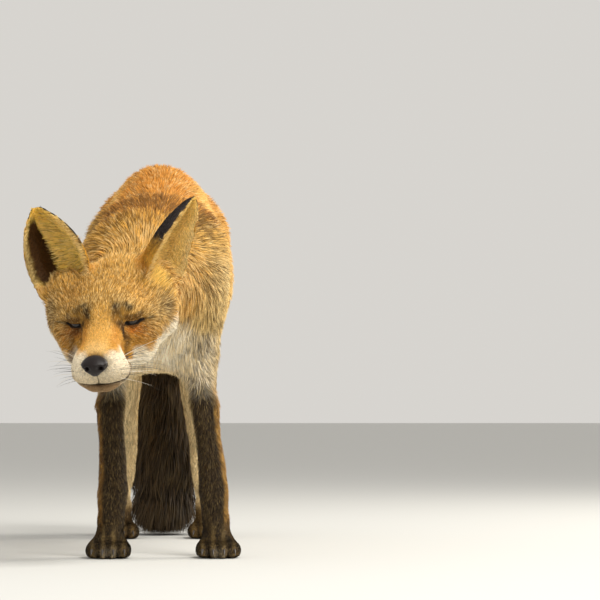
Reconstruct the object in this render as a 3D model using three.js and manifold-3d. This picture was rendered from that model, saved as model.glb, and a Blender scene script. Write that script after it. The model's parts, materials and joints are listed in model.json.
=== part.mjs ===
// A red fox standing on its four feet, life size, as a still museum model.
// Millimetres, +Z up. The fox faces -Y, its own left side is +X, and the soles lie at Z = 0.
// The head is lowered and turned a little to the fox's right, the back is arched, and the brush hangs down.
// The solids give the outline to the tips of the coat. Each is a part that a person would name.
import * as THREE from "three";
import { mergeVertices } from "three/addons/utils/BufferGeometryUtils.js";
import Module from "manifold-3d";

const wasm = await Module();
wasm.setup();

// ---- driving dimensions -------------------------------------------------------------------------
const GAP = 0.3; // left between two parts that meet
const SHORT = 0.03; // no edge is shorter

// Trunk: where it is along Y, its back line, its belly line and half its width.
const TRUNK = [
  { y: -62, back: 292, belly: 236, half: 34 },
  { y: -30, back: 334, belly: 202, half: 56 },
  { y: 40, back: 361, belly: 182, half: 70 },
  { y: 130, back: 374, belly: 192, half: 77 },
  { y: 215, back: 400, belly: 222, half: 74 },
  { y: 300, back: 423, belly: 258, half: 64 },
  { y: 370, back: 420, belly: 284, half: 60 },
  { y: 425, back: 400, belly: 312, half: 48 },
  { y: 452, back: 376, belly: 336, half: 26 },
];
const NECK = [
  { at: [0, 40, 298], r: 64 },
  { at: [-16, -35, 284], r: 58 },
  { at: [-36, -98, 254], r: 47 },
];
const HEAD_AT = [-55, -172, 229]; // midway between the eyes
const HEAD_TURN = { pitch: 21, yaw: -7, roll: -3 }; // degrees: nose down and to the fox's right, left ear up
const EYE = { r: 9.5, at: [23.5, 1, 1], out: 35, slant: 6, open: 4.4, long: 19, slitLow: 2 };
const LID = 2.2; // how far the lids stand off the eyeball
const NOSE = { at: [0, -79, -15], half: [11.8, 8.5, 8.9] };
const EAR = { half: 31, cup: 1.05, thick: 4.6 }; // the cup is as deep as this share of half its width
// Where each ear grows and ends in the head's frame, and by how far its opening turns out from straight ahead.
const EARS = {
  left: { root: [41, 63, 16], tip: [86, 87, 90], aim: 60, tall: 95, outer: 0.51, lobe: 0.5 },
  right: { root: [-43, 60, 16], tip: [-70, 82, 92], aim: 4, tall: 87, outer: 0.95, lobe: 0 },
};

const SWAY = -8; // the shoulders lean this far to the fox's right of the paws, and the rump half as far

const FORELEG = { x: 50, elbow: 178, wrist: 78, y: 2 };
const HINDLEG = { x: 41, stifle: 236, hock: 100, y: 405, paw: 50 };
const PAW = { half: 23, long: 27, high: 15, toe: 8.6, claw: 7 };
const TAIL = [
  { at: [0, 432, 378], r: 30 },
  { at: [0, 476, 336], r: 34 },
  { at: [2, 496, 262], r: 46 },
  { at: [3, 500, 160], r: 50 },
  { at: [2, 492, 88], r: 46 },
  { at: [0, 484, 38], r: 34 },
];

// Sizes of the mesh along X, Y and Z.
const CELL = {
  trunk: [23, 30, 23], neck: [21, 22, 21], head: [11, 12, 11], nose: [3.8, 3.8, 3.8],
  limb: [11.5, 11.5, 21], paw: [9.8, 10.4, 9], tail: [19, 19, 29],
};
const COLOURS = {
  rust: 0xc98643, cream: 0xd9c6a2, sock: 0x3b2c22, brush: 0x4a3b2e, nose: 0x231f20, eye: 0x2a1c12, ear: 0xcfa14a,
};

// ---- signed distances, negative inside ----------------------------------------------------------
const add = (a, b, k = 1) => [a[0] + b[0] * k, a[1] + b[1] * k, a[2] + b[2] * k];
const dot = (a, b) => a[0] * b[0] + a[1] * b[1] + a[2] * b[2];
const radians = THREE.MathUtils.degToRad;
const clamp = THREE.MathUtils.clamp;

// A cone with round ends, from a ball of radius ra at a to one of radius rb at b.
function roundCone(a, ra, b, rb) {
  const along = add(b, a, -1);
  const l2 = dot(along, along);
  const slope = ra - rb;
  const a2 = l2 - slope * slope;
  return (p) => {
    const pa = add(p, a, -1);
    const y = dot(pa, along);
    const z = y - l2;
    const across = [0, 1, 2].map((i) => pa[i] * l2 - along[i] * y);
    const x2 = dot(across, across);
    const y2 = y * y * l2;
    const z2 = z * z * l2;
    const k = Math.sign(slope) * slope * slope * x2;
    if (Math.sign(z) * a2 * z2 > k) return Math.sqrt(x2 + z2) / l2 - rb;
    if (Math.sign(y) * a2 * y2 < k) return Math.sqrt(x2 + y2) / l2 - ra;
    return (Math.sqrt((x2 * a2) / l2) + y * slope) / l2 - ra;
  };
}

function ellipsoid(at, half) {
  return (p) => {
    const q = add(p, at, -1);
    const k0 = Math.hypot(q[0] / half[0], q[1] / half[1], q[2] / half[2]);
    const k1 = Math.hypot(q[0] / half[0] ** 2, q[1] / half[1] ** 2, q[2] / half[2] ** 2);
    return k1 < 1e-9 ? -Math.min(...half) : (k0 * (k0 - 1)) / k1;
  };
}

function blend(a, b, k) {
  const h = Math.max(k - Math.abs(a - b), 0) / k;
  return Math.min(a, b) - (h * h * k) / 4;
}
const union = (k, ...shapes) => (p) => shapes.map((s) => s(p)).reduce((a, b) => blend(a, b, k));
const bothSides = (shape) => (p) => shape([Math.abs(p[0]), p[1], p[2]]);
const slimmer = (shape, x0, s) => (p) => shape([x0 + (p[0] - x0) / s, p[1], p[2]]) * Math.min(1, s);
const chain = (joints, k = 6) =>
  union(k, ...joints.slice(1).map((j, i) => roundCone(joints[i].at, joints[i].r, j.at, j.r)));

// A value of the trunk's table at y, on a smooth curve through its rows.
const trunkCurves = ["back", "belly", "half"].reduce((all, key) => {
  all[key] = new THREE.SplineCurve(TRUNK.map((row) => new THREE.Vector2(row.y, row[key])));
  return all;
}, {});
function trunkAt(key, y) {
  const last = TRUNK.length - 1;
  let i = 0;
  while (i < last - 1 && y > TRUNK[i + 1].y) i += 1;
  const share = clamp((y - TRUNK[i].y) / (TRUNK[i + 1].y - TRUNK[i].y), 0, 1);
  return trunkCurves[key].getPoint((i + share) / last).y;
}

function trunk(p) {
  const y = clamp(p[1], TRUNK[0].y, TRUNK[TRUNK.length - 1].y);
  const top = trunkAt("back", y);
  const bottom = trunkAt("belly", y);
  const high = (top - bottom) / 2;
  const v = (p[2] - (top + bottom) / 2) / high;
  const half = trunkAt("half", y) * (1 - 0.1 * clamp(v, -1, 1)); // a little wider below than above
  const side = (Math.hypot(p[0] / half, v) - 1) * Math.min(half, high);
  return Math.hypot(Math.max(side, 0), p[1] - y) + Math.min(side, 0);
}

// ---- the head, in its own frame: x to the fox's left, y backwards, z up, from between the eyes -----
const headFrame = new THREE.Matrix4().compose(
  new THREE.Vector3(...HEAD_AT),
  new THREE.Quaternion().setFromEuler(
    new THREE.Euler(radians(HEAD_TURN.pitch), radians(HEAD_TURN.roll), radians(HEAD_TURN.yaw), "ZXY"),
  ),
  new THREE.Vector3(1, 1, 1),
);
const headInverse = headFrame.clone().invert();
const moved = (matrix, p) => new THREE.Vector3(...p).applyMatrix4(matrix).toArray();
const turned = (matrix, p) => new THREE.Vector3(...p).transformDirection(matrix).toArray();

const headShape = union(
  9,
  ellipsoid([0, 42, 2], [44, 47, 33]), // brain case
  ellipsoid([0, 4, 2], [29, 28, 18]), // brow
  bothSides(ellipsoid([29.5, 26, -12], [26.5, 34, 26])), // cheek
  bothSides(ellipsoid([28, 18, -32], [18, 28, 18])), // white of the cheek
  bothSides(ellipsoid([40, 48, -9], [26, 30, 32])), // ruff
  bothSides(ellipsoid([42, 60, 14], [18, 17, 20])), // root of the ear
  slimmer(roundCone([0, -4, -8], 20, [0, -62, -17], 13.2), 0, 1.1), // muzzle
  bothSides(ellipsoid([12, -56, -22.5], [13, 18, 14])), // whisker bed
  roundCone([0, 24, -38], 23, [0, -53, -36], 14), // lower jaw
  bothSides(ellipsoid([14, -40, -36], [14, 22, 11.5])), // corners of the mouth
  bothSides(ellipsoid(EYE.at, [EYE.r + LID, EYE.r + LID, EYE.r + LID])), // lids
);

// ---- legs: one side, with x measured outwards -----------------------------------------------------
function toes(x, y) {
  return union(
    3,
    ...[-1.5, -0.5, 0.5, 1.5].map((k) => {
      const forward = 30 - 5.5 * (Math.abs(k) - 0.5);
      return roundCone([x + k * 9.5, y - 8, 9], PAW.toe - 0.6, [x + k * 10.4, y - forward, 7], PAW.toe);
    }),
  );
}

function foreleg() {
  const { x, elbow, wrist, y } = FORELEG;
  const shoulder = chain([
    { at: [36, 56, 320], r: 34 },
    { at: [42, -6, 262], r: 27 },
    { at: [x - 6, 24, elbow + 18], r: 20 },
  ], 12);
  const arm = chain([
    { at: [x - 6, 24, elbow + 18], r: 23 },
    { at: [x - 4, y + 10, elbow - 22], r: 17.5 },
    { at: [x - 1, y, wrist + 14], r: 14.8 },
    { at: [x, y - 3, wrist - 12], r: 16.4 },
    { at: [x + 3, y - 8, 24], r: 15.6 },
  ], 10);
  const pads = ellipsoid([x + 4, y - 12, 8], [PAW.half - 1, PAW.long - 5, PAW.high]);
  const heel = roundCone([x - 1, y + 12, wrist - 10], 5, [x - 1, y + 13, wrist - 20], 4);
  return union(6, shoulder, slimmer(arm, x, 0.9), pads, heel, toes(x + 4, y - 12));
}

function hindleg() {
  const { x, stifle, hock, y, paw } = HINDLEG;
  const thigh = slimmer(
    chain([
      { at: [38, 385, 341], r: 54 },
      { at: [42, 350, 290], r: 51 },
      { at: [44, 334, stifle + 6], r: 32 },
    ], 12),
    42,
    0.8,
  );
  const shank = chain([
    { at: [44, 338, stifle], r: 27 },
    { at: [43, 384, 172], r: 20.5 },
    { at: [x, y + 28, hock], r: 12.6 },
  ], 12);
  const foot = chain([
    { at: [x, y + 33, hock + 4], r: 11.5 },
    { at: [x + 3, y + 24, hock - 26], r: 11.8 },
    { at: [paw - 1, y + 4, 24], r: 12.6 },
  ], 8);
  const pads = ellipsoid([paw, y - 6, 8], [PAW.half - 2, PAW.long - 4, PAW.high - 1]);
  return union(8, thigh, shank, foot, pads, toes(paw, y - 6));
}

const tail = chain(TAIL, 14);
const headInPlace = (p) => headShape(moved(headInverse, p));
const ease = (v, from, to) => THREE.MathUtils.smoothstep((v - from) / (to - from), 0, 1);
const swayAt = (y, z) =>
  SWAY * (0.5 + 0.5 * ease(y, 330, 120)) * ease(y, -110, -40) * ease(y, 470, 400) * ease(z, 60, 190);
const straight = union(24, trunk, chain(NECK, 20), bothSides(foreleg()), bothSides(hindleg()));
const flesh = ([x, y, z]) => straight([x - swayAt(y, z), y, z]);

// ---- meshing: one vertex in each cell that the surface crosses, moved on to the surface ------------
function solidOf(shape, low, high, cell) {
  const count = low.map((v, i) => Math.ceil((high[i] - v) / cell[i]) + 1);
  const step = [1, count[0], count[0] * count[1]];
  const pointAt = (...index) => low.map((v, i) => v + index[i] * cell[i]);
  const value = new Float64Array(count[0] * count[1] * count[2]);
  for (let k = 0, n = 0; k < count[2]; k += 1)
    for (let j = 0; j < count[1]; j += 1)
      for (let i = 0; i < count[0]; i += 1, n += 1) value[n] = shape(pointAt(i, j, k));

  const corners = [0, 1, 2, 3, 4, 5, 6, 7].map((c) => [c & 1, (c >> 1) & 1, (c >> 2) & 1]);
  const edges = corners.flatMap((c, n) =>
    [0, 1, 2].filter((a) => !c[a]).map((a) => [n, n + (1 << a)]),
  );
  const vertexOf = new Map();
  const vertices = [];
  for (let k = 0; k < count[2] - 1; k += 1)
    for (let j = 0; j < count[1] - 1; j += 1)
      for (let i = 0; i < count[0] - 1; i += 1) {
        const base = i + j * step[1] + k * step[2];
        const at = corners.map((c) => value[base + dot(c, step)]);
        if (at.every((v) => v < 0) || at.every((v) => v >= 0)) continue;
        let sum = [0, 0, 0];
        let crossings = 0;
        for (const [a, b] of edges) {
          if (at[a] < 0 === at[b] < 0) continue;
          const share = at[a] / (at[a] - at[b]);
          sum = add(sum, corners[a].map((v, n) => v + (corners[b][n] - v) * share));
          crossings += 1;
        }
        const start = pointAt(i, j, k).map((v, n) => v + (sum[n] * cell[n]) / crossings);
        vertexOf.set(base, vertices.length);
        vertices.push(ontoSurface(shape, start, Math.min(...cell) * 0.45));
      }

  const triangles = [];
  const sides = [[1, 2], [2, 0], [0, 1]];
  for (let k = 1; k < count[2] - 1; k += 1)
    for (let j = 1; j < count[1] - 1; j += 1)
      for (let i = 1; i < count[0] - 1; i += 1) {
        const base = i + j * step[1] + k * step[2];
        sides.forEach(([a, b], along) => {
          const inside = value[base] < 0;
          if (inside === value[base + step[along]] < 0) return;
          const ring = [base - step[a] - step[b], base - step[b], base, base - step[a]].map((c) => vertexOf.get(c));
          if (!inside) ring.reverse();
          const spread = (m, n) => add(vertices[ring[m]], vertices[ring[n]], -1);
          const [d0, d1] = [spread(0, 2), spread(1, 3)];
          const [r0, r1, r2, r3] = dot(d0, d0) < dot(d1, d1) ? ring : [ring[1], ring[2], ring[3], ring[0]];
          triangles.push(r0, r1, r2, r0, r2, r3);
        });
      }
  const uses = new Map();
  triangles.forEach((a, n) => {
    const b = n % 3 === 2 ? triangles[n - 2] : triangles[n + 1];
    const key = Math.min(a, b) * vertices.length + Math.max(a, b);
    uses.set(key, (uses.get(key) ?? 0) + 1);
  });
  if ([...uses.values()].some((n) => n !== 2)) return null; // two sheets share an edge
  return new wasm.Manifold(
    new wasm.Mesh({
      numProp: 3,
      vertProperties: new Float32Array(vertices.flat()),
      triVerts: new Uint32Array(triangles),
    }),
  );
}

function slopeOf(shape, p, e = 0.4) {
  return [0, 1, 2].map((i) => {
    const [a, b] = [p.slice(), p.slice()];
    a[i] += e;
    b[i] -= e;
    return (shape(a) - shape(b)) / (2 * e);
  });
}

function ontoSurface(shape, start, reach) {
  let p = start;
  for (let n = 0; n < 3; n += 1) {
    const g = slopeOf(shape, p);
    p = add(p, g, -shape(p) / Math.max(dot(g, g), 0.05));
  }
  const shift = add(p, start, -1);
  const far = Math.sqrt(dot(shift, shift));
  return far > reach ? add(start, shift, reach / far) : p;
}

// Two halves of space meet at a cut. A part keeps the side that side * axis points to, less half the gap.
const CUTS = {
  headNeck: { at: [-26, -70, 262], axis: [-0.2, -0.9, -0.3] },
  neckTrunk: { at: [0, -42, 290], axis: [-0.1, -0.99, 0.04] },
  waist: { at: [0, 212, 300], axis: [0, 1, 0] },
  elbow: { at: [0, 0, 158], axis: [0, 0, 1] },
  wrist: { at: [0, 0, 44], axis: [0, 0, 1] },
  stifle: { at: [0, 350, 218], axis: [0, -0.35, 0.94] },
  hock: { at: [0, 430, 94], axis: [0, -0.2, 0.98] },
  hindWrist: { at: [0, 0, 40], axis: [0, 0, 1] },
  tailRoot: { at: [0, 446, 370], axis: [0, 1, 0] },
  tailMiddle: { at: [0, 500, 196], axis: [0, 0, -1] },
  floor: { at: [0, 0, 0], axis: [0, 0, 1] },
};
const cutBy = (name, side) => ({ at: CUTS[name].at, axis: CUTS[name].axis.map((v) => v * side) });
const unit = (v) => v.map((x) => x / Math.hypot(...v));

function inFrame(cut, matrix) {
  return { at: moved(matrix, cut.at), axis: turned(matrix, cut.axis) };
}

// The part of a shape inside a range and on the kept side of every cut, meshed past the cuts and trimmed flat.
function piece(shape, low, high, cell, cuts, gap = GAP / 2) {
  const planes = cuts.map(({ at, axis }) => ({ axis: unit(axis), offset: dot(unit(axis), at) }));
  const past = Math.max(...cell) * 1.1;
  const bounded = (p) =>
    Math.max(
      shape(p),
      ...planes.map(({ axis, offset }) => offset - dot(axis, p) - past),
      ...p.map((v, i) => Math.max(low[i] - v, v - high[i])),
    );
  let solid = null;
  for (let nudge = 0; !solid && nudge < 4; nudge += 0.23) {
    const from = low.map((v, i) => v - cell[i] * (2 + (nudge * (i + 1)) % 1)); // another place to start the grid
    solid = solidOf(bounded, from, high.map((v, i) => v + cell[i] * 2), cell);
  }
  if (!solid) throw new Error("no grid gave a closed surface");
  for (const { axis, offset } of planes) solid = solid.trimByPlane(axis, offset + gap);
  return largest(solid);
}

const largest = (solid) => solid.decompose().sort((a, b) => b.volume() - a.volume())[0];

function asSolid(geometry) {
  const bare = geometry.clone();
  bare.deleteAttribute("normal");
  bare.deleteAttribute("uv");
  const merged = mergeVertices(bare, 1e-4);
  return new wasm.Manifold(
    new wasm.Mesh({
      numProp: 3,
      vertProperties: new Float32Array(merged.attributes.position.array),
      triVerts: new Uint32Array(merged.index.array),
    }),
  );
}

// A cut can leave edges too short to keep, so the two ends of each become one vertex.
function asGeometry(solid) {
  const mesh = solid.getMesh();
  const count = mesh.vertProperties.length / mesh.numProp;
  const point = (i) => [0, 1, 2].map((k) => mesh.vertProperties[i * mesh.numProp + k]);
  const same = Array.from({ length: count }, (_, i) => i);
  const rootOf = (i) => (same[i] === i ? i : (same[i] = rootOf(same[i])));
  const faces = [];
  for (let i = 0; i < mesh.triVerts.length; i += 3) faces.push([...mesh.triVerts.slice(i, i + 3)]);
  for (const face of faces)
    face.forEach((a, n) => {
      const b = face[(n + 1) % 3];
      if (Math.hypot(...add(point(a), point(b), -1)) < SHORT) same[rootOf(b)] = rootOf(a);
    });
  const kept = new Map(); // two faces left back to back take each other out
  for (const face of faces.map((f) => f.map(rootOf))) {
    const key = [...face].sort((a, b) => a - b).join();
    if (new Set(face).size < 3) continue;
    if (!kept.delete(key)) kept.set(key, face);
  }
  const geometry = new THREE.BufferGeometry();
  const position = new Float32Array(same.flatMap((_, i) => point(i)));
  geometry.setAttribute("position", new THREE.BufferAttribute(position, 3));
  geometry.setIndex(new THREE.BufferAttribute(new Uint32Array([...kept.values()].flat()), 1));
  geometry.computeVertexNormals();
  return geometry;
}

// A box with its corner directions given, for parting a limb from the trunk. Grown, it leaves the gap.
function limbBox({ at, half, tilt, side }, grown) {
  const size = half.map((v) => 2 * (v + grown));
  const box = new THREE.BoxGeometry(...size);
  box.rotateY(radians(tilt * side));
  box.translate(at[0] * side, at[1], at[2]);
  return asSolid(box);
}

// ---- the parts -----------------------------------------------------------------------------------
const fox = new THREE.Group();
const headGroup = new THREE.Group();
headGroup.applyMatrix4(headFrame);
fox.add(headGroup);

const materials = Object.fromEntries(
  Object.entries(COLOURS).map(([name, color]) => [
    name,
    new THREE.MeshStandardMaterial({
      color, roughness: name === "eye" ? 0.1 : name === "nose" ? 0.4 : 0.85, metalness: 0,
    }),
  ]),
);

function addPart(name, solid, finish, parent = fox) {
  const mesh = new THREE.Mesh(asGeometry(solid), materials[finish]);
  mesh.name = name;
  parent.add(mesh);
  return mesh;
}

const SIDES = { left: 1, right: -1 };

// Trunk in two halves, each with its upper limbs parted from it, and the root of the brush with the rump.
const TRUNK_RANGE = [[-115, -100, 130], [115, 500, 470]];
const brush = piece(tail, [-80, 390, -20], [84, 580, 440], CELL.tail, []);
const [, tailRoot] = CUTS.tailRoot.at;
const [, , tailMiddle] = CUTS.tailMiddle.at;
const LIMB_BOXES = {
  upper_foreleg: { at: [94, 8, 196], half: [44, 62, 92], tilt: -16 },
  thigh: { at: [98, 374, 262], half: [52, 68, 88], tilt: -14 },
};

function partLimbs(solid, limb) {
  let rest = solid;
  for (const [sideName, side] of Object.entries(SIDES)) {
    const box = { ...LIMB_BOXES[limb], side };
    addPart(`${limb}_${sideName}`, largest(solid.intersect(limbBox(box, 0))), "rust");
    rest = rest.subtract(limbBox(box, GAP));
  }
  return largest(rest);
}

const front = [cutBy("neckTrunk", -1), cutBy("elbow", 1), cutBy("waist", -1)];
addPart("chest", partLimbs(piece(flesh, ...TRUNK_RANGE, CELL.trunk, front), "upper_foreleg"), "rust");

const rear = piece(flesh, ...TRUNK_RANGE, CELL.trunk, [cutBy("waist", 1), cutBy("stifle", 1)])
  .add(brush.trimByPlane([0, 0, 1], tailMiddle + GAP / 2));
addPart("loin_and_rump", partLimbs(rear.trimByPlane([0, -1, 0], -tailRoot + GAP / 2), "thigh"), "rust");
addPart("tail_upper", largest(rear.trimByPlane([0, 1, 0], tailRoot + GAP / 2)), "brush");
addPart("tail_lower", largest(brush.trimByPlane([0, 0, -1], -tailMiddle + GAP / 2)), "brush");

// Neck.
const frontOfBody = (p) => blend(flesh(p), headInPlace(p), 16);
addPart(
  "neck",
  piece(frontOfBody, [-125, -180, 130], [115, 0, 400], CELL.neck, [cutBy("headNeck", -1), cutBy("neckTrunk", 1)]),
  "rust",
);

// Lower legs and paws.
function clawAt(x, y, side) {
  const cone = new THREE.ConeGeometry(2.1, PAW.claw + 5, 7);
  cone.rotateX(radians(118));
  cone.translate(x * side, y, 6.5);
  return asSolid(cone);
}

// A range given for the left side, mirrored for the right.
const onSide = (side, low, high) =>
  side > 0 ? [low, high] : [[-high[0], low[1], low[2]], [-low[0], high[1], high[2]]];

function addPaw(name, side, x, y, cuts) {
  const range = onSide(side, [x - 38, y - 56, -14], [x + 38, y + 50, 80]);
  let paw = piece(flesh, ...range, CELL.paw, cuts);
  for (const k of [-1.5, -0.5, 0.5, 1.5]) {
    const forward = 30 - 5.5 * (Math.abs(k) - 0.5) + PAW.toe + 1;
    paw = paw.add(clawAt(x + k * 10.6, y - forward, side));
  }
  paw = largest(paw.trimByPlane([0, 0, 1], 0));
  addPart(name, paw, "sock");
}

for (const [sideName, side] of Object.entries(SIDES)) {
  addPart(
    `lower_foreleg_${sideName}`,
    piece(flesh, ...onSide(side, [4, -70, 10], [110, 90, 200]), CELL.limb, [cutBy("elbow", -1), cutBy("wrist", 1)]),
    "sock",
  );
  addPaw(`forepaw_${sideName}`, side, FORELEG.x + 4, FORELEG.y - 12, [cutBy("wrist", -1)]);
  addPart(
    `shank_${sideName}`,
    piece(flesh, ...onSide(side, [3, 280, 60], [110, 500, 260]), CELL.limb, [cutBy("stifle", -1), cutBy("hock", 1)]),
    "rust",
  );
  addPart(
    `hind_foot_${sideName}`,
    piece(flesh, ...onSide(side, [3, 340, 10], [90, 500, 140]), CELL.limb, [cutBy("hock", -1), cutBy("hindWrist", 1)]),
    "sock",
  );
  addPaw(`hindpaw_${sideName}`, side, HINDLEG.paw, HINDLEG.y - 6, [cutBy("hindWrist", -1)]);
}

// Head, with the eyes, the nose and the jaw parted from it.
function eyeball(side, grown) {
  const ball = new THREE.SphereGeometry(EYE.r + grown, 14, 8);
  ball.translate(EYE.at[0] * side, EYE.at[1], EYE.at[2]);
  return asSolid(ball);
}

// The slit between the lids, as a lens pushed along the way the eye looks.
function slit(side) {
  const lens = new THREE.Shape();
  lens.moveTo(-EYE.long / 2, 0);
  lens.quadraticCurveTo(0, EYE.open, EYE.long / 2, 0);
  lens.quadraticCurveTo(0, -EYE.open, -EYE.long / 2, 0);
  const cut = new THREE.ExtrudeGeometry(lens, { depth: 24, bevelEnabled: false, curveSegments: 5 });
  cut.rotateZ(radians(EYE.slant * side));
  cut.rotateX(radians(90));
  cut.rotateZ(radians(EYE.out * side));
  cut.translate(EYE.at[0] * side, EYE.at[1], EYE.at[2] - EYE.slitLow);
  return asSolid(cut);
}

const nosePad = (grown) =>
  union(3, ellipsoid(NOSE.at, NOSE.half.map((v) => v + grown)), ellipsoid(
    add(NOSE.at, [0, 1, -7]),
    [5 + grown, 6 + grown, 6 + grown],
  ));
const noseWithNostrils = (p) => {
  const hole = bothSides(ellipsoid(add(NOSE.at, [6.2, -7, -1.4]), [2.9, 4.2, 2.7]));
  return Math.max(nosePad(0)(p), -hole(p));
};
const noseBox = [add(NOSE.at, [-16, -14, -18]), add(NOSE.at, [16, 14, 14])];
addPart("nose", piece(noseWithNostrils, ...noseBox, CELL.nose, []), "nose", headGroup);

const headWithNeck = (p) => frontOfBody(moved(headFrame, p));
const headCut = inFrame(cutBy("headNeck", 1), headInverse);
const headLow = [-90, -78, -100];
const headHigh = [100, 190, 90];
let head = piece(headWithNeck, headLow, headHigh, CELL.head, [headCut]);
head = head.subtract(piece(nosePad(GAP), ...noseBox, CELL.nose, []));
for (const side of Object.values(SIDES)) {
  addPart(`eye_${side > 0 ? "left" : "right"}`, eyeball(side, 0), "eye", headGroup);
  head = head.subtract(eyeball(side, GAP)).subtract(slit(side));
}

// Ear: a cupped leaf with its own thickness, v up from the root and u across from the inner edge to the outer.
function earSolid(ear, side) {
  const root = new THREE.Vector3(...ear.root);
  const axis = new THREE.Vector3(...ear.tip).sub(root).normalize();
  const turn = radians(ear.aim * side);
  const front = new THREE.Vector3(Math.sin(turn), -Math.cos(turn), 0);
  front.addScaledVector(axis, -front.dot(axis)).normalize();
  const across = new THREE.Vector3().crossVectors(axis, front).multiplyScalar(-side).normalize();
  const [nu, nv] = [8, 8];
  const middle = (u, v) => {
    const half = EAR.half * Math.pow(1 - Math.pow(v, 2.7), 0.7) * (0.86 + 0.36 * v * (1.3 - v));
    const bow = 6 * Math.sin(Math.PI * Math.min(1, v * 1.1)) * (u > 0 ? u : 0);
    const cup = EAR.cup * half;
    const outer = ear.outer * (1 + ear.lobe * Math.exp(-(((v - 0.3) / 0.16) ** 2))); // the margin's low lobe
    return root.clone()
      .addScaledVector(axis, ear.tall * (v * 1.08 - 0.14))
      .addScaledVector(across, half * u * (u < 0 ? outer : 1) + bow)
      .addScaledVector(front, cup * (Math.pow(Math.abs(u), 2.2) - 0.55));
  };
  const normalAt = (u, v) => {
    const e = 0.02;
    const du = middle(Math.min(1, u + e), v).sub(middle(Math.max(-1, u - e), v));
    const dv = middle(u, Math.min(0.985, v + e)).sub(middle(u, Math.max(0, v - e)));
    return new THREE.Vector3().crossVectors(du, dv).normalize().multiplyScalar(side);
  };
  const rows = [];
  for (const face of [1, -1])
    for (let j = 0; j <= nv; j += 1)
      for (let i = 0; i <= nu; i += 1) {
        const [u, v] = [(2 * i) / nu - 1, (j / nv) * 0.985];
        const rim = Math.min(1, 0.45 + 2.2 * (1 - Math.abs(u)), 0.45 + 4 * (1 - v));
        rows.push(middle(u, v).addScaledVector(normalAt(u, v), (face * EAR.thick * rim) / 2));
      }
  const at = (face, i, j) => (face > 0 ? 0 : (nu + 1) * (nv + 1)) + j * (nu + 1) + i;
  const index = [];
  const quad = (a, b, c, d) => index.push(a, b, c, a, c, d);
  for (let j = 0; j < nv; j += 1)
    for (let i = 0; i < nu; i += 1) {
      quad(at(1, i, j), at(1, i + 1, j), at(1, i + 1, j + 1), at(1, i, j + 1));
      quad(at(-1, i, j), at(-1, i, j + 1), at(-1, i + 1, j + 1), at(-1, i + 1, j));
    }
  for (let i = 0; i < nu; i += 1) {
    quad(at(1, i + 1, 0), at(1, i, 0), at(-1, i, 0), at(-1, i + 1, 0));
    quad(at(1, i, nv), at(1, i + 1, nv), at(-1, i + 1, nv), at(-1, i, nv));
  }
  for (let j = 0; j < nv; j += 1) {
    quad(at(1, 0, j), at(1, 0, j + 1), at(-1, 0, j + 1), at(-1, 0, j));
    quad(at(1, nu, j + 1), at(1, nu, j), at(-1, nu, j), at(-1, nu, j + 1));
  }
  if (side < 0) index.reverse(); // a mirrored leaf would face inwards
  return new wasm.Manifold(
    new wasm.Mesh({
      numProp: 3,
      vertProperties: new Float32Array(rows.flatMap((r) => r.toArray())),
      triVerts: new Uint32Array(index),
    }),
  );
}

const headGrown = piece((p) => headWithNeck(p) - 1.2, headLow, headHigh, CELL.head, [headCut], -GAP);
for (const [sideName, side] of Object.entries(SIDES))
  addPart(`ear_${sideName}`, largest(earSolid(EARS[sideName], side).subtract(headGrown)), "ear", headGroup);

// Lower jaw: what lies under the mouth line and in front of the jaw's angle.
const MOUTH = { z: -38.5, back: 8, half: 25 };
function jawBox(grown) {
  const box = new THREE.BoxGeometry(2 * MOUTH.half, 110 + 2 * grown, 60 + 2 * grown);
  box.translate(0, MOUTH.back - 55, MOUTH.z - 30);
  box.rotateX(radians(-2));
  return asSolid(box);
}
addPart("lower_jaw", largest(head.intersect(jawBox(0))), "cream", headGroup);
addPart("head", largest(head.subtract(jawBox(GAP))), "rust", headGroup);

// ---- the origin is under the middle of the fox, on the floor ---------------------------------------
fox.updateMatrixWorld(true);
const bounds = new THREE.Box3().setFromObject(fox, true);
const middle = bounds.getCenter(new THREE.Vector3());
fox.position.set(-middle.x, -middle.y, 0);

const placed = new THREE.Group();
placed.add(fox);

export default placed;
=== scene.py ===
# %% [markdown]
# # A red fox as a museum would show it
# This script gives that outline a body: one skin over the flesh, lids, eyes, a wet nose, claws,
# whiskers, and a coat of some 480,000 thin tufts of mesh that follow the lie of the fur. Everything
# is worked out from the frame's own boxes, in metres, with the fox facing -Y.

# %% Load the frame
import json
import math

import bmesh
import bpy
import numpy as np
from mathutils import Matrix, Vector
from mathutils.bvhtree import BVHTree
from mathutils.kdtree import KDTree

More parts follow.
